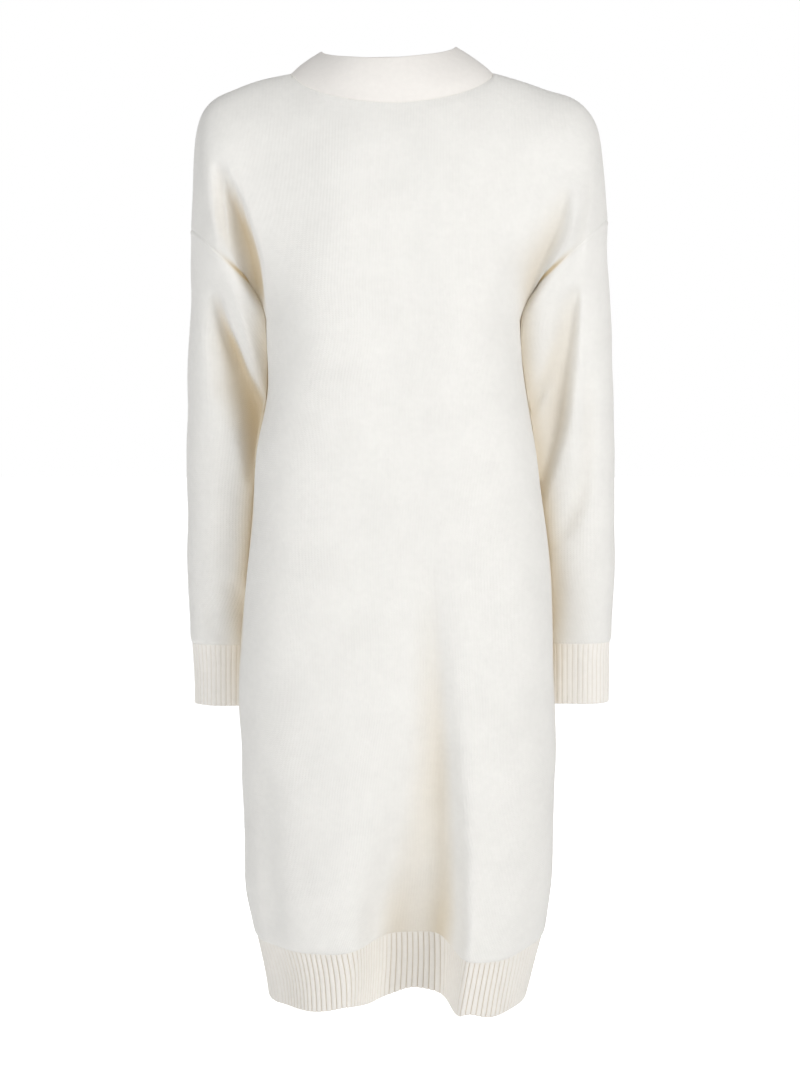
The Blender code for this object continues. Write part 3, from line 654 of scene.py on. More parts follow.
def hem_shift(side, x, line):
    """How far a line of the hem hangs below its even height at x."""
    if side == BACK:
        return np.zeros_like(x)
    return through(HEM_SHIFT["x"], HEM_SHIFT[line], x)


def yoke_climbs():
    """How far each row of a yoke has climbed from the underarm, 0, to the top edge, 1."""
    return fine_ends(YOKE_ROWS, UNDERARM_DROP, (False, True))


def panel(side):
    """Grid of the front or back panel, from the hem band's seam up to its top edge."""
    shares = panel_shares()
    ups = fine_ends(TORSO_ROWS, HEM_RIB_DROP - UNDERARM_DROP, (True, False))[:-1, None]
    drops = HEM_RIB_DROP + (underarm_drops(shares) - HEM_RIB_DROP) * ups
    torso = fold_in(body_tube(side, shares, drops), side, PANEL_FOLDS)
    near_hem = ease(HEM_RIB_DROP - HEM_SHIFT_REACH, HEM_RIB_DROP, drops)
    torso[..., 2] -= hem_shift(side, torso[0, :, 0], "seam") * near_hem
    return np.concatenate([torso, yoke(side, shares, yoke_climbs())]), len(torso)


def hem_band(side, columns):
    """Grid of the ribbed band below the front or back panel. It sags between the side seams by
    sag sin(pi share)^power, the middle fold lifts it, and its columns lean as the ribs do."""
    shares = np.linspace(0, 1, columns + 1)
    ups = fine_ends(RIB_ROWS, HEM_DROP - HEM_RIB_DROP, (False, True))[:, None]
    drops = HEM_DROP + (HEM_RIB_DROP - HEM_DROP) * ups + 0 * shares
    band = body_tube(side, shares, drops)
    x = band[0, :, 0]
    sag = HEM_SAG[FACE[side]] * np.sin(pi * shares).clip(0) ** HEM_SAG_POWER
    lift = HEM_FOLD_LIFT[FACE[side]] * fold_shape(HEM_FOLDS[side][0], x, HEM_DROP)
    edge_shift = hem_shift(side, x, "edge")
    seam_shift = hem_shift(side, band[-1, :, 0], "seam")
    band[..., 2] -= (sag - lift + edge_shift) * (1 - ups) + seam_shift * ups
    lean = np.interp(x, *RIB_LEAN[side].values()) * np.sin(pi * shares) ** 0.5
    leaning = shares + lean / lengths(band, 1)[0, -1] * (1 - ups)
    for row, places in zip(band, leaning):
        row[:] = np.stack([np.interp(places, shares, axis) for axis in row.T], axis=-1)
    return band


def body_level(points):
    """The body tube's middle and half width at each point's height, and the point's level, which
    is 1 on the tube."""
    drops = -points[..., 2]
    right, left, front, back = (
        at_drop(TORSO, name, drops) for name in ("right", "left", "front", "back"))
    in_front = points[..., 1] < 0
    depth = np.where(in_front, front, back)
    square = np.where(in_front, at_drop(TORSO, "square", drops), BACK_SQUARE)
    middle, half = (left + right) / 2, (left - right) / 2
    off_x = np.abs((points[..., 0] - middle) / half)
    level = (off_x ** square + np.abs(points[..., 1] / depth) ** square) ** (1 / square)
    return middle, half, level


def clear_of_body(points):
    """Points moved out where they would press into the body tube: their level is held above
    wanted by the soft maximum wanted + s log(1 + exp((level - wanted) / s))."""
    drops = -points[..., 2]
    middle, half, level = body_level(points)
    margin = SLEEVE_CLEARANCE * np.clip((drops - UNDERARM_DROP) / CLEARANCE_REACH, 0, 1)
    wanted = 1 + margin / half
    held = wanted + CONTACT_SOFTNESS * np.logaddexp(0, (level - wanted) / CONTACT_SOFTNESS)
    grow = np.where((drops > UNDERARM_DROP) & (held > level), held / level, 1)
    moved = points.copy()
    moved[..., 0] = middle + (points[..., 0] - middle) * grow
    moved[..., 1] = points[..., 1] * grow
    return moved


def sleeve_rings(wearer_side, alongs, turns):
    """Rings of a sleeve, tilted ellipses with a front and a back depth, whose inner front is a
    superellipse of radius (|cos|^n + |sin|^n)^(-1/n). turns run from the underarm, 0, round the
    front to the top, pi, and round the back to 2 pi."""
    columns = SLEEVE[wearer_side]
    ring = {name: through(columns["along"], columns[name], alongs)[:, None] for name in columns}
    full = (turns < pi / 2) * ease(*SLEEVE_FULL["along"], alongs)[:, None]
    square = 2 + (SLEEVE_FULL["square"] - 2) * full
    reach = (np.abs(np.cos(turns)) ** square + np.abs(np.sin(turns)) ** square) ** (-1 / square)
    out = (1 - reach * np.cos(turns)) / 2
    face = reach * np.sin(turns)
    x = ring["inner_x"] + (ring["outer_x"] - ring["inner_x"]) * out
    z = ring["inner_z"] + (ring["outer_z"] - ring["inner_z"]) * out
    depth = np.where(face > 0, ring["front"], ring["back"])
    points = np.stack([x, ring["y"] - depth * face, z], axis=-1)
    for side in (FRONT, BACK):
        points = fold_in(points, side, SLEEVE_FOLDS, ring["y"])
    return clear_of_body(points)


def armhole_ring(wearer_side, half_columns):
    """The armhole edges of the front and back panels, from the underarm round the front."""
    climbs = np.linspace(0, 1, half_columns + 1)
    edge = np.array([0.0 if wearer_side == RIGHT else 1.0])
    front, back = (yoke(side, edge, climbs)[:, 0] for side in (FRONT, BACK))
    return np.concatenate([front, back[-2:0:-1]])


def even_turns(columns):
    """Turns once round a tube."""
    return np.arange(columns) * 2 * pi / columns


def sleeve(wearer_side):
    """Grid of a sleeve, from the cuff's seam up to the armhole. The rings from the tables turn
    into the armhole's own edge over the last stretch."""
    turns = even_turns(2 * SLEEVE_HALF_COLUMNS)
    ups = fine_ends(SLEEVE_ROWS, CUFF_ALONG["seam"])
    alongs = CUFF_ALONG["seam"] * (1 - ups)
    rings = sleeve_rings(wearer_side, alongs, turns)
    edge = armhole_ring(wearer_side, SLEEVE_HALF_COLUMNS)
    rest = (edge - rings[-1]) * fade(0, JOIN_LENGTH, alongs)[:, None, None]
    return rings + rest


def ringed(rings):
    """Closed rings with their first points once more at the end."""
    return np.concatenate([rings, rings[:, :1]], axis=1)


def evenly_apart(rings, columns):
    """The same closed rings with this many points, evenly apart along each of them."""
    loops = ringed(rings)
    parts = np.arange(columns) / columns
    return np.array([
        np.stack([np.interp(parts * along[-1], along, axis) for axis in loop.T], axis=-1)
        for loop, along in zip(loops, lengths(loops, 1))])


def cuff(wearer_side, columns):
    """Grid of a cuff, from its open end up to the sleeve."""
    ups = fine_ends(RIB_ROWS, CUFF_ALONG["end"] - CUFF_ALONG["seam"], (False, True))
    alongs = CUFF_ALONG["end"] + (CUFF_ALONG["seam"] - CUFF_ALONG["end"]) * ups
    return evenly_apart(sleeve_rings(wearer_side, alongs, even_turns(columns)), columns)


def neck_ring():
    """The neck edges of the panels as one ring, from the right shoulder round the front."""
    halves = []
    for side in (FRONT, BACK):
        spread = np.cos(np.linspace(0, pi, COLLAR_COLUMNS + 1))
        shares = 0.5 - (0.5 - SHOULDER_SHARE) * spread
        halves.append(yoke(side, shares, np.array([0.0, 1.0]))[-1])
    return np.concatenate([halves[0], halves[1][-2:0:-1]])


def collar():
    """Grid of the collar, from the neck seam up to its folded edge: straight from the base ring
    to the top ring, with a swell of sin(pi part)."""
    base = neck_ring()
    turns = np.arccos(((NECK_X - base[:, 0]) / NECK_HALF_WIDTH).clip(-1, 1))
    turns = np.where(base[:, 1] > SHOULDER_PLANE_Y, 2 * pi - turns, turns)
    depth, dip = (
        np.where(np.sin(turns) > 0, COLLAR_TOP["front"][name], COLLAR_TOP["back"][name])
        for name in ("depth", "dip"))
    lean = (1 - np.cos(turns)) / 2
    side_rise = COLLAR_SIDE_RISE["right"] * (1 - lean) + COLLAR_SIDE_RISE["left"] * lean
    top = np.stack([
        COLLAR_TOP_X - COLLAR_TOP_HALF_WIDTH * np.cos(turns),
        -depth * np.sin(turns),
        side_rise - dip * np.abs(np.sin(turns)) ** NECK_DIP_POWER,
    ], axis=-1)
    away = np.stack([-np.cos(turns), -np.sin(turns), np.zeros_like(turns)], axis=-1)
    part = fine_ends(COLLAR_ROWS, COLLAR_HEIGHT, (True, False))[:, None, None]
    return base * (1 - part) + top * part + away * COLLAR_SWELL * np.sin(pi * part)


# ---- from grid to cloth ----
def unit(vectors):
    """Vectors of length 1."""
    return vectors / np.linalg.norm(vectors, axis=-1, keepdims=True)


def outward(grid, closed, sign):
    """Outward directions at a grid's points: across x up."""
    up = np.gradient(grid, axis=0)
    if closed:
        across = np.roll(grid, -1, axis=1) - np.roll(grid, 1, axis=1)
    else:
        across = np.gradient(grid, axis=1)
    return unit(np.cross(across, up) * sign)


def lengths(grid, axis):
    """Length along the rows or columns of a grid, from its first line to each point."""
    steps = np.linalg.norm(np.diff(grid, axis=axis), axis=-1)
    start = np.zeros_like(np.take(steps, [0], axis=axis))
    return np.cumsum(np.concatenate([start, steps], axis=axis), axis=axis)


def seam_relief(distance, roll=0.0):
    """The dip of a linked seam and the roll of cloth beside it, at a distance from the edge."""
    sink = SEAM_SINK["depth"] * np.exp(-(distance / SEAM_SINK["reach"]) ** 2)
    off = (distance - SEAM_ROLL["from_edge"]) / SEAM_ROLL["reach"]
    return roll * SEAM_ROLL["height"] * np.exp(-off ** 2) - sink


def armhole_line(climbs):
    """How deep the armhole's seam is drawn at each climb. It fades towards the underarm, where
    the panel and the sleeve turn face to face and their edges must stay together."""
    return ease(*ARMHOLE_DRAWN, climbs)


def puff(distance):
    """How plain knit swells out over the ribs that draw it in, at a distance from them."""
    part = distance / RIB_PUFF["from_seam"]
    return RIB_PUFF["height"] * part * np.exp(1 - part)


def rib_relief(turns_of_rib, strength):
    """Height of rib cords: 1 - |2 frac - 1|^broad at each place counted in ribs."""
    across = np.abs(2 * (turns_of_rib % 1.0) - 1)
    return strength * (1 - across ** RIB_BROAD)


def blurred(values, rounds, closed):
    """Each point's mean with its neighbours, up and across, many times over."""
    for _ in range(rounds):
        tall = np.pad(values, ((1, 1), (0, 0), (0, 0)), mode="edge")
        values = (tall[:-2] + 2 * values + tall[2:]) / 4
        wide = np.pad(values, ((0, 0), (1, 1), (0, 0)), mode="wrap" if closed else "edge")
        values = (wide[:, :-2] + 2 * values + wide[:, 2:]) / 4
    return values


def swells(points):
    """The slow swells of hanging cloth, a sum of waves height * sin(k . place + phase)."""
    total = np.zeros(points.shape[:-1])
    for x, y, z, phase, height in zip(*SWELLS.values()):
        total += height * np.sin(points @ np.array([x, y, z]) + phase)
    return total


class Cloth:
    """A piece of knit: its grid, its wall, the relief of its two faces, and its knit map."""

    def __init__(self, name, grid, wall, closed=False, sign=1):
        self.name = name
        self.closed = closed
        self.sign = sign
        self.grid = grid
        self.normal = outward(grid, closed, sign)
        self.wall = np.full(grid.shape[:2], float(wall))
        self.face_relief = np.zeros(grid.shape[:2])
        self.groove = np.zeros(grid.shape[:2])
        self.pressed = np.zeros(grid.shape[:2])
        self.underarm = np.zeros(grid.shape[:2])
        self.calm = np.zeros(grid.shape[:2])
        self.inner_relief = np.zeros(grid.shape[:2])
        self.free_low = False
        self.free_high = False
        self.map = None

    def thin_to_panel(self, row):
        """Thins the wall to that of a panel towards the seam at a row."""
        distance = lengths(self.grid, 0)
        distance = np.abs(distance - distance[row])
        self.wall += (PANEL_WALL - self.wall) * fade(0, WALL_FADE, distance)

    def edge_steps(self):
        """How many rows round off the lower and the upper edge, none where it is linked on."""
        return EDGE_STEPS * self.free_low, EDGE_STEPS * self.free_high


def edge_round(outer, inner, direction, steps):
    """Rows of a half circle from the outer to the inner face, bulging along a direction."""
    middle, half = (outer + inner) / 2, (outer - inner) / 2
    reach = np.linalg.norm(half, axis=-1, keepdims=True)
    turns = (np.arange(1, steps + 1) * pi / (steps + 1))[:, None, None]
    return middle + half * np.cos(turns) + direction * reach * np.sin(turns)


def cells(rows, columns):
    """The corners of each cell of a grid in turn, each as row numbers and column numbers."""
    row, column = np.meshgrid(np.arange(rows), np.arange(columns), indexing="ij")
    return (row, column), (row, column + 1), (row + 1, column + 1), (row + 1, column)


def numbered(corners, rows, columns):
    """Cells as faces on the points of a grid whose last row and column lead on to the first."""
    return np.stack([r % rows * columns + c % columns for r, c in corners], axis=-1).reshape(-1, 4)


def cloth_mesh(cloth):
    """The piece as one closed mesh: outer rows, the upper edge, inner rows and the lower edge,
    in one loop of rows, and strips that close its ends where it is no tube."""
    calm = np.maximum(cloth.calm, cloth.underarm)
    relief = cloth.face_relief + swells(cloth.grid) * (1 - contact(cloth)) * (1 - calm)
    outer = cloth.grid + cloth.normal * relief[..., None]
    inward = unit(blurred(cloth.normal, INNER_ROUNDS, cloth.closed))
    inner = cloth.grid - inward * (cloth.wall + cloth.inner_relief)[..., None]
    low_steps, high_steps = cloth.edge_steps()
    rise, fall = unit(cloth.grid[-1] - cloth.grid[-2]), unit(cloth.grid[0] - cloth.grid[1])
    high = edge_round(outer[-1], inner[-1], rise, high_steps)
    low = edge_round(inner[0], outer[0], fall, low_steps)
    half = low_steps // 2
    rows = np.concatenate([low[half:], outer, high, inner[::-1], low[:half]])
    flat = in_loop(cloth, cloth.map)
    count, columns = rows.shape[:2]
    corners = cells(count, columns if cloth.closed else columns - 1)
    faces, places = (numbered(corners, count, width) for width in (columns, flat.shape[1]))
    if not cloth.closed:
        low_row = np.arange(count // 2 - 1)
        strip = [low_row, low_row + 1, count - 2 - low_row, count - 1 - low_row]
        first = np.stack(strip, axis=-1) * columns
        ends = [first, (first + columns - 1)[:, ::-1]]
        faces, places = (np.concatenate([known, *ends]) for known in (faces, places))
    if cloth.sign < 0:
        faces, places = faces[:, ::-1], places[:, ::-1]
    return rows.reshape(-1, 3), faces, flat.reshape(-1, 2)[places.reshape(-1)]


def contact(cloth):
    """How near a sleeve and the body's side are to each other at each point, from 0 to 1, and
    above 1 in the crease of the underarm."""
    drops = -cloth.grid[..., 2]
    beside_arm = ease(*BESIDE_ARM["from"], drops) * fade(*BESIDE_ARM["to"], drops)
    if cloth.name.startswith(("front", "back")):
        near = np.abs(cloth.normal[..., 0]) ** BESIDE_ARM["turn"]
        near = near * ease(*BESIDE_ARM["behind"], cloth.grid[..., 1])
    elif cloth.name.startswith(("sleeve", "cuff")):
        _, half, level = body_level(cloth.grid)
        near = np.exp(-(((level - 1) * half).clip(0) / BESIDE_ARM["gap"]) ** 2)
    else:
        near = 0 * drops
    return np.maximum(near * beside_arm, UNDERARM["contact"] * cloth.underarm ** UNDERARM["power"])


def painted_shade(cloth):
    """How much painted shade each point gets: as far as it lies below the smoothed cloth round it
    or in a fold, and as near as the sleeves and the body's sides are to each other."""
    smooth = blurred(cloth.grid, PAINTED_SHADE_MASK["rounds"], cloth.closed)
    hollow = np.sum((smooth - cloth.grid) * cloth.normal, axis=-1) / PAINTED_SHADE_MASK["hollow"]
    hollow = np.maximum(hollow, cloth.pressed / PAINTED_SHADE_MASK["pressed"])
    hollow = hollow.clip(0, 1) ** PAINTED_SHADE_MASK["power"]
    return 1 - (1 - hollow) * (1 - PAINTED_SHADE_MASK["contact"] * contact(cloth))


def in_loop(cloth, values):
    """A grid of values in the order of the mesh's loop of rows, the inner face as the outer."""
    low_steps, high_steps = cloth.edge_steps()
    half = low_steps // 2
    return np.concatenate([
        np.repeat(values[:1], low_steps - half, axis=0), values,
        np.repeat(values[-1:], high_steps, axis=0), values[::-1],
        np.repeat(values[:1], half, axis=0),
    ])


def in_scene(name, data):
    """A new object with the data, in the scene."""
    thing = bpy.data.objects.new(name, data)
    bpy.context.scene.collection.objects.link(thing)
    return thing


def add_mesh(name, points, faces, material):
    """An object with a mesh of the points, in millimetres, and the faces."""
    mesh = bpy.data.meshes.new(name)
    mesh.from_pydata((points * MM).tolist(), [], faces)
    mesh.shade_smooth()
    mesh.materials.append(material)
    return in_scene(name, mesh)


def stand_for(piece, node):
    """Hangs the piece from the root and hides the solid of the node that it stands for."""
    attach(piece, "root")
    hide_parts(node)


def add_cloth(cloth, node, material):
    """The piece's object, standing for its node, with its knit map and its masks of painted shade,
    for hollows and for rib grooves."""
    points, faces, places = cloth_mesh(cloth)
    piece = add_mesh(cloth.name, points, faces.tolist(), material)
    knit_map = piece.data.uv_layers.new(name="knit")
    knit_map.data.foreach_set("uv", (places * MM).astype(np.float32).ravel())
    # Masks of painted shade: for hollows, folds and close sides, and for rib grooves.
    for name, values in (("painted_shade", painted_shade(cloth)), ("groove", cloth.groove)):
        attribute = piece.data.attributes.new(name, "FLOAT", "POINT")
        attribute.data.foreach_set("value", in_loop(cloth, values).astype(np.float32).ravel())
    stand_for(piece, node)


# ---- the pieces ----
def panel_cloth(side):
    """The front or back panel. Its knit map is straight up to the underarms. From there the
    wales spread out to the flat shoulder line, and the courses keep the length along them."""
    grid, yoke_start = panel(side)
    cloth = Cloth(FACE[side] + "_knit", grid, PANEL_WALL, sign=-side)
    cloth.pressed = pressed_in(grid, PANEL_FOLDS[side])
    across, up = lengths(grid, 1), lengths(grid, 0)
    side_seam = fade(-UNDERARM_FADE, 0, up[:yoke_start] - up[yoke_start])
    armhole_seam = armhole_line(yoke_climbs())[:, None] * np.ones_like(up[yoke_start:])
    strength = np.concatenate([side_seam, armhole_seam])
    for distance in (across, across[:, -1:] - across):
        cloth.face_relief += seam_relief(distance) * strength
        near_edge = fade(0, CALM_REACH, distance)
        cloth.underarm = np.maximum(cloth.underarm, near_edge * (1 - strength))
    top_distance = up[-1:] - up
    cloth.calm = fade(0, CALM_REACH, top_distance)
    neck = np.abs(panel_shares() - 0.5) <= 0.5 - SHOULDER_SHARE + TINY
    cloth.face_relief += seam_relief(top_distance) * np.where(neck, NECK_SEAM, 1) + puff(up)
    cloth.map = panel_map(grid, yoke_start, neck)
    return cloth


def panel_map(grid, yoke_start, neck):
    """A panel's knit map: the place of each point among the wales and along the courses."""
    shares = lengths(grid, 1)[0]
    bottom = (shares / shares[-1] - 0.5) * PANEL_FLAT_WIDTH
    seam_length = lengths(grid[-1:], 1)[0]
    first, last = np.flatnonzero(neck)[[0, -1]]
    top = grid[-1, :, 0] - NECK_X
    top[:first] = top[first] - (seam_length[first] - seam_length[:first])
    top[last + 1:] = top[last] + seam_length[last + 1:] - seam_length[last]
    height = grid[..., 2]
    spread = (height - height[yoke_start]) / (height[-1] - height[yoke_start])
    wale_place = bottom + (top - bottom) * spread.clip(0, 1)
    climb = np.linalg.norm(np.diff(grid, axis=0), axis=-1)
    aside = np.diff(wale_place, axis=0)
    rise = np.sqrt((climb ** 2 - aside ** 2).clip((LEAST_CLIMB * climb) ** 2))
    course_place = np.concatenate([np.zeros((1, len(shares))), np.cumsum(rise, axis=0)])
    return np.stack([wale_place, course_place], axis=-1)


def rib_cloth(name, kind, make_grid, closed, sign, strength_of):
    """A ribbed band: a whole number of cords up the cloth, rounded off at the seam, with sunken
    grooves between. make_grid makes its grid with so many columns, and strength_of says how far
    a grid's cords stand out."""
    pitch, rise = RIB_PITCH[kind], RIB_RISE[kind]
    trial = make_grid(TRIAL_COLUMNS)
    ribs = int(round(lengths(trial, 1)[len(trial) // 2, -1] / pitch))
    grid = make_grid(ribs * RIB_STEPS)
    strength = strength_of(grid)
    cloth = Cloth(name, grid, RIB_WALL, closed, sign)
    cloth.free_low = True
    cloth.thin_to_panel(-1)
    columns = grid.shape[1]
    spans = columns if closed else columns - 1
    place = np.arange(columns) * ribs / spans
    up = lengths(grid, 0)
    from_seam = up[-1:] - up
    full = np.sqrt(1 - (1 - from_seam / RIB_START).clip(0, 1) ** 2)
    sunk = 1 - rib_relief(place, 1.0)
    cloth.face_relief = -rise * sunk * strength * full
    # A mask of painted shade in the grooves between cords.
    cloth.groove = sunk ** 2 * strength * full
    inner_cords = rib_relief(place + 0.5, rise * INNER_RIB["rise"]) * strength
    cloth.inner_relief = (inner_cords - rise * INNER_RIB["sunk"]) * full
    map_across = np.arange(columns + closed) * ribs / spans * pitch
    map_up = ringed(up) if closed else up
    cloth.map = np.stack([np.broadcast_to(map_across, map_up.shape), map_up], axis=-1)
    return cloth


def hem_cloth(side):
    """The front or back hem band."""
    return rib_cloth(
        "hem_" + FACE[side] + "_rib", "hem", lambda columns: hem_band(side, columns), False, -side,
        lambda grid: np.interp(grid[..., 0], *RIB_STRENGTH[side].values()))


def cuff_cloth(wearer_side, side_name):
    """A cuff."""
    return rib_cloth(
        "cuff_" + side_name + "_rib", "cuff", lambda columns: cuff(wearer_side, columns), True,
        wearer_side, lambda grid: CUFF_STRENGTH)


def sleeve_cloth(wearer_side, side_name):
    """A sleeve. Its wales run along it, counted both ways from its top line."""
    grid = sleeve(wearer_side)
    cloth = Cloth("sleeve_" + side_name + "_knit", grid, PANEL_WALL, True, wearer_side)
    turns = even_turns(grid.shape[1])
    for side in (FRONT, BACK):
        cloth.pressed += pressed_in(grid, SLEEVE_FOLDS[side]) * (-side * np.sin(turns) > 0)
    up = lengths(grid, 0)
    from_armhole = up[-1:] - up
    strength = armhole_line(np.where(turns > pi, 2 * pi - turns, turns) / pi)
    cloth.face_relief = seam_relief(from_armhole, ARMHOLE_ROLL) * strength + puff(up)
    cloth.underarm = fade(0, CALM_REACH, from_armhole) * (1 - strength)
    around = lengths(ringed(grid), 1)
    top_line = around[:, SLEEVE_HALF_COLUMNS, None]
    cloth.map = np.stack([around - top_line, ringed(up)], axis=-1)
    return cloth


def collar_cloth():
    """The collar: one tube of smooth knit, folded double at its top edge."""
    grid = collar()
    cloth = Cloth("collar_knit", grid, COLLAR_WALL, True, 1)
    cloth.free_high = True
    cloth.thin_to_panel(0)
    up = lengths(grid, 0)
    cloth.face_relief = seam_relief(up) * NECK_SEAM
    cloth.calm = fade(0, CALM_REACH, up)
    map_up = ringed(up)
    around = lengths(ringed(grid), 1)[:1]
    cloth.map = np.stack([np.broadcast_to(around, map_up.shape), map_up], axis=-1)
    return cloth


def bead():
    """The points of one linking stitch, a rounded bead at the origin, ring by ring along it."""
    climbs = np.linspace(-pi / 2, pi / 2, LINKING["rings"] + 2)[1:-1]
    climb, turn = np.meshgrid(climbs, even_turns(LINKING["around"]), indexing="ij")
    height, reach = np.sin(climb), np.cos(climb)
    shape = np.stack([height, reach * np.cos(turn), reach * np.sin(turn)], axis=-1)
    return shape.reshape(-1, 3) * [LINKING[name] / 2 for name in ("length", "width", "height")]


def linking_stitches(material):
    """The slanted stitches that link the collar on, one joined mesh of small rounded beads. A
    bead's middle is on the neck seam, and its long axis leans from the seam's way upwards."""
    grid = collar()
    base, above = grid[0], grid[LINKING["up_row"]]
    seam_lengths = lengths(ringed(base[None]), 1)[0]
    count = int(seam_lengths[-1] // LINKING["pitch"])
    places = np.arange(count) * seam_lengths[-1] / count

    def on_seam(values):
        round_neck = ringed(values[None])[0]
        return np.stack([np.interp(places, seam_lengths, axis) for axis in round_neck.T], axis=-1)

    seam_way = unit(on_seam(np.roll(base, -1, axis=0) - np.roll(base, 1, axis=0)))
    rise = unit(on_seam(above - base))
    face = unit(np.cross(seam_way, rise))
    slant = radians(LINKING["slant"])
    long_axis = unit(seam_way * np.cos(slant) + rise * np.sin(slant))
    axes = np.stack([long_axis, np.cross(face, long_axis), face], axis=1)
    middle = on_seam(base) + face * LINKING["raised"] + rise * LINKING["lifted"]
    shape = bead()
    points = middle[:, None] + shape @ axes
    rings, around = LINKING["rings"], LINKING["around"]
    low, high = np.arange(around)[::-1], (rings - 1) * around + np.arange(around)
    start = np.arange(count)[:, None] * len(shape)
    side = numbered(cells(rings - 1, around), rings, around)
    faces = (side + start[..., None]).reshape(-1, 4).tolist()
    faces += (low + start).tolist() + (high + start).tolist()
    piece = add_mesh("collar_linking", points.reshape(-1, 3), faces, material)
    stand_for(piece, "collar")
    return piece


# ---- yarn and its materials ----
class Term:
    """A number that changes over the surface, from a socket. Each operator adds a math node."""

    def __init__(self, tree, socket):
        self.tree = tree
        self.socket = socket

    def maths(self, operation, *values):
        """A math node on values, each a term or a plain number."""
        node = new_node(self.tree, "Math", dict(enumerate(values)), operation=operation)
        return Term(self.tree, node.outputs[0])

    def __add__(self, other):
        return self.maths("ADD", self, other)

    def __sub__(self, other):
        return self.maths("SUBTRACT", self, other)

    def __rsub__(self, other):
        return self.maths("SUBTRACT", other, self)

    def __mul__(self, other):
        return self.maths("MULTIPLY", self, other)

    def __truediv__(self, other):
        return self.maths("DIVIDE", self, other)

    def __pow__(self, other):
        return self.maths("POWER", self, other)

    def __abs__(self):
        return self.maths("ABSOLUTE", self)

    def fraction(self):
        """What is left after the whole number."""
        return self.maths("FRACT", self)


def feed(tree, node, inputs):
    """Gives a node its inputs by name or number, each a plain value, a socket or a term."""
    for name, value in inputs.items():
        if isinstance(value, Term):
            value = value.socket
        if isinstance(value, bpy.types.NodeSocket):
            tree.links.new(value, node.inputs[name])
        else:
            node.inputs[name].default_value = value


def new_node(tree, kind, inputs=None, **settings):
    """A new shader node with its settings and its inputs."""
    node = tree.nodes.new("ShaderNode" + kind)
    for name, value in settings.items():
        setattr(node, name, value)
    feed(tree, node, inputs or {})
    return node


def new_group(name, inputs, outputs):
    """An empty node group with sockets: label, kind and, for an input, its value. Returns it with
    its given values and its end, which its results are fed to."""
    group = bpy.data.node_groups.new(name, "ShaderNodeTree")
    for label, kind, *default in inputs:
        socket = group.interface.new_socket(label, in_out="INPUT", socket_type="NodeSocket" + kind)
        if default:
            socket.default_value = default[0]
    for label in outputs:
        group.interface.new_socket(label, in_out="OUTPUT", socket_type="NodeSocketFloat")
    start, end = group.nodes.new("NodeGroupInput"), group.nodes.new("NodeGroupOutput")
    return group, start.outputs, end


def stocking_stitch():
    """Plain knit seen from its right side. Each wale is two legs of yarn, highest a quarter in
    from its middle and its edges, and each stitch slants: its courses rise towards the edges."""
    group, given, end = new_group(
        "stocking_stitch",
        [("Place", "Vector"), ("Wale", "Float", WALE), ("Course", "Float", COURSE)],
        ["Height", "Groove"])
    place = new_node(group, "SeparateXYZ", {0: given["Place"]})
    wales, courses = (
        Term(group, place.outputs[axis]) * (1 / MM) / Term(group, given[size])
        for axis, size in (("X", "Wale"), ("Y", "Course")))
    from_middle = abs(wales.fraction() - 0.5)
    leg = 1 - (abs(from_middle - 0.25) * 4) ** STITCH["leg_square"]
    slanted = courses - from_middle * STITCH["slant"]
    stitch = 1 - abs(slanted.fraction() * 2 - 1) ** STITCH["end_square"]
    height = leg * (stitch * (1 - STITCH["end_height"]) + STITCH["end_height"])
    feed(group, end, {"Height": height, "Groove": 1 - height})
    return group


def yarn_fuzz():
    """Fine loose fibres and the slow unevenness of knitted yarn, as noises."""
    group, given, end = new_group("yarn_fuzz", [("Place", "Vector")], FUZZ)
    for name, (scale, detail, roughness) in FUZZ.items():
        noise = new_node(group, "TexNoise", {
            "Vector": given["Place"], "Scale": scale, "Detail": detail, "Roughness": roughness})
        feed(group, end, {name: noise.outputs["Fac"]})
    return group


def new_material(name):
    """A new material with its node tree and its shader."""
    material = bpy.data.materials.new(name)
    material.use_nodes = True
    return material, material.node_tree, material.node_tree.nodes["Principled BSDF"]


def blend(tree, colour, other, part, clamped=True):
    """A colour, plain or from a socket, that turns into another by a part."""
    inputs = {"A": colour, "B": (*other, 1), "Factor": part}
    mix = new_node(tree, "Mix", inputs, data_type="RGBA", clamp_factor=clamped)
    return mix.outputs["Result"]


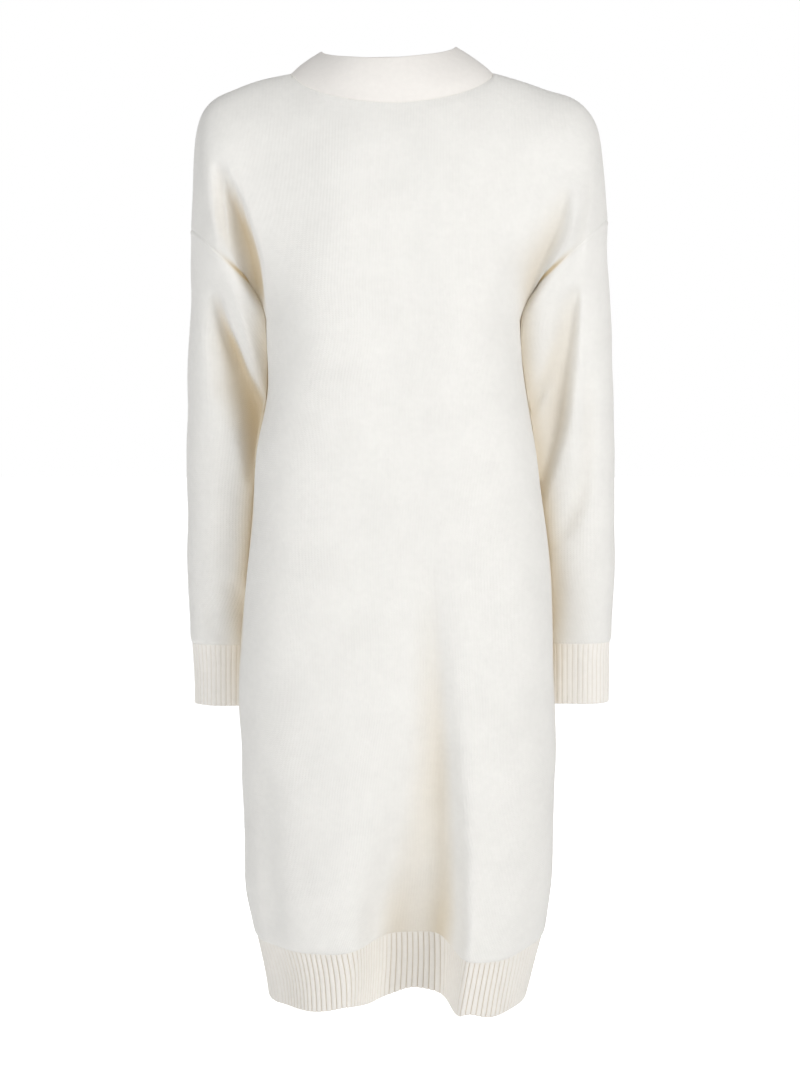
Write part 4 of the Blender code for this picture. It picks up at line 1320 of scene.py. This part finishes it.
def knit_material(name, groups):
    """A knit of one yarn: stitches from the knit map, fibres, painted shade in darker, warmer tones
    where light comes only by way of other cloth and in the grooves of stitches and ribs, and a
    painted glow in the hollows."""
    colour, wale, course, stitch_depth, groove_shade, rib_groove_painted_shade = KNITS[name]
    material, tree, shader = new_material(name)
    stitches, fuzz = (new_node(tree, "Group", node_tree=group) for group in groups)
    knit_map = new_node(tree, "UVMap", uv_map="knit").outputs["UV"]
    feed(tree, stitches, {"Place": knit_map, "Wale": wale, "Course": course})
    feed(tree, fuzz, {"Place": new_node(tree, "TexCoord").outputs["Object"]})
    height, groove = (Term(tree, stitches.outputs[output]) for output in ("Height", "Groove"))
    fibre, mottle, uneven = (Term(tree, fuzz.outputs[output]) for output in FUZZ)
    # Masks of painted shade, which turn the yarn to darker, warmer tones in hollows, folds and close
    # sides and in the grooves between rib cords.
    painted_shade_part, rib_groove_shade_part = (
        Term(tree, new_node(tree, "Attribute", attribute_name=mask).outputs["Fac"])
        for mask in PAINTED_SHADE_COLOURS)

    tint = blend(tree, (*colour, 1), PAINTED_SHADE_COLOURS["painted_shade"], painted_shade_part * PAINTED_SHADE_TINT)
    tint = blend(tree, tint, PAINTED_SHADE_COLOURS["groove"], rib_groove_shade_part * rib_groove_painted_shade)
    # Painted shade in the grooves between stitch legs, broken up by a noise; after it, tone that
    # differs at random.
    shade = 1 - groove * (uneven * GROOVE_BREAKS[0] + GROOVE_BREAKS[1]) * groove_shade
    shade = shade * (uneven * UNEVEN_TONE[0] + UNEVEN_TONE[1])
    shade = shade * (mottle * MOTTLED_TONE[0] + MOTTLED_TONE[1])
    tone = new_node(tree, "VectorMath", {0: tint}, operation="SCALE")
    feed(tree, tone, {"Scale": shade})
    bump = new_node(tree, "Bump", {
        "Strength": STITCH_BUMP, "Distance": stitch_depth * MM,
        "Height": height + fibre * FIBRE_BUMP})
    feed(tree, shader, {
        **YARN, **KNIT_SHEEN,
        "Base Color": tone.outputs[0],
        "Normal": bump.outputs["Normal"],
        # The emission is a painted glow in the hollows, as strong as their painted shade.
        "Emission Color": blend(tree, (0, 0, 0, 1), PAINTED_GLOW, painted_shade_part, clamped=False),
        "Emission Strength": 1,
    })
    return material


def linking_yarn_material():
    """Plain matt yarn, for the stitches that are modelled one by one."""
    material, tree, shader = new_material("linking_yarn")
    feed(tree, shader, {**YARN, "Base Color": (*LINKING_YARN, 1)})
    return material


def floor_material():
    """White studio paper, lit from within a little so that it stays pale to the horizon."""
    material, tree, shader = new_material("studio_paper")
    seen = Term(tree, new_node(tree, "LightPath").outputs["Is Camera Ray"])
    glow = seen * (1 - FLOOR["glow"]) + FLOOR["glow"]
    feed(tree, shader, {**PAPER, "Emission Color": WHITE, "Emission Strength": glow})
    return material


# ---- studio ----
def add_floor():
    """A wide pale floor."""
    half = FLOOR["half"]
    corners = [(-half, -half), (half, -half), (half, half), (-half, half)]
    points = np.array([(x, y, FLOOR["z"]) for x, y in corners]) / MM
    add_mesh("floor", points, [(0, 1, 2, 3)], floor_material())


def add_softboxes():
    """The square area lights, each turned towards its aim."""
    for name, place, aim, size, watts, colour in SOFTBOXES:
        light = bpy.data.lights.new(name, "AREA")
        light.size = size
        light.energy = watts
        light.color = colour
        holder = in_scene(name, light)
        holder.location = place
        holder.rotation_euler = (Vector(aim) - Vector(place)).to_track_quat("-Z", "Y").to_euler()


def add_surroundings():
    """Even light from all round, which the camera sees as white."""
    world = bpy.data.worlds.new("studio")
    world.use_nodes = True
    tree = world.node_tree
    tree.nodes.clear()
    lit, seen = (
        new_node(tree, "Background", {"Color": WHITE, "Strength": strength}).outputs[0]
        for strength in (AMBIENT, 1.0))
    rays = new_node(tree, "LightPath").outputs["Is Camera Ray"]
    mix = new_node(tree, "MixShader", {0: rays, 1: lit, 2: seen})
    new_node(tree, "OutputWorld", {"Surface": mix.outputs[0]})
    bpy.context.scene.world = world
    bpy.context.scene.view_settings.view_transform = "Standard"


def add_camera():
    """The level camera, shifted down so that the whole dress is in its view."""
    lens = bpy.data.cameras.new("camera")
    lens.sensor_width = SENSOR
    lens.lens = SENSOR * -CAMERA["place"][1] / CAMERA["view_height"]
    lens.shift_y = -CAMERA["view_below"] / CAMERA["view_height"]
    camera = in_scene("camera", lens)
    camera.location = CAMERA["place"]
    camera.rotation_euler = (radians(90), 0, 0)
    bpy.context.scene.camera = camera


def add_dress():
    """Every piece of the dress."""
    groups = stocking_stitch(), yarn_fuzz()
    plain, rib, painted_lighter_cuff_rib, smooth = (knit_material(name, groups) for name in KNITS)
    for side in (FRONT, BACK):
        add_cloth(panel_cloth(side), FACE[side], plain)
        add_cloth(hem_cloth(side), "hem_" + FACE[side], rib)
    for wearer_side, side_name in ((RIGHT, "right"), (LEFT, "left")):
        add_cloth(
            sleeve_cloth(wearer_side, side_name), "sleeve_" + side_name, plain)
        add_cloth(cuff_cloth(wearer_side, side_name), "cuff_" + side_name, painted_lighter_cuff_rib)
    stitches = linking_stitches(linking_yarn_material())
    add_cloth(collar_cloth(), "collar", smooth)


add_floor()
add_softboxes()
add_surroundings()
add_camera()
add_dress()
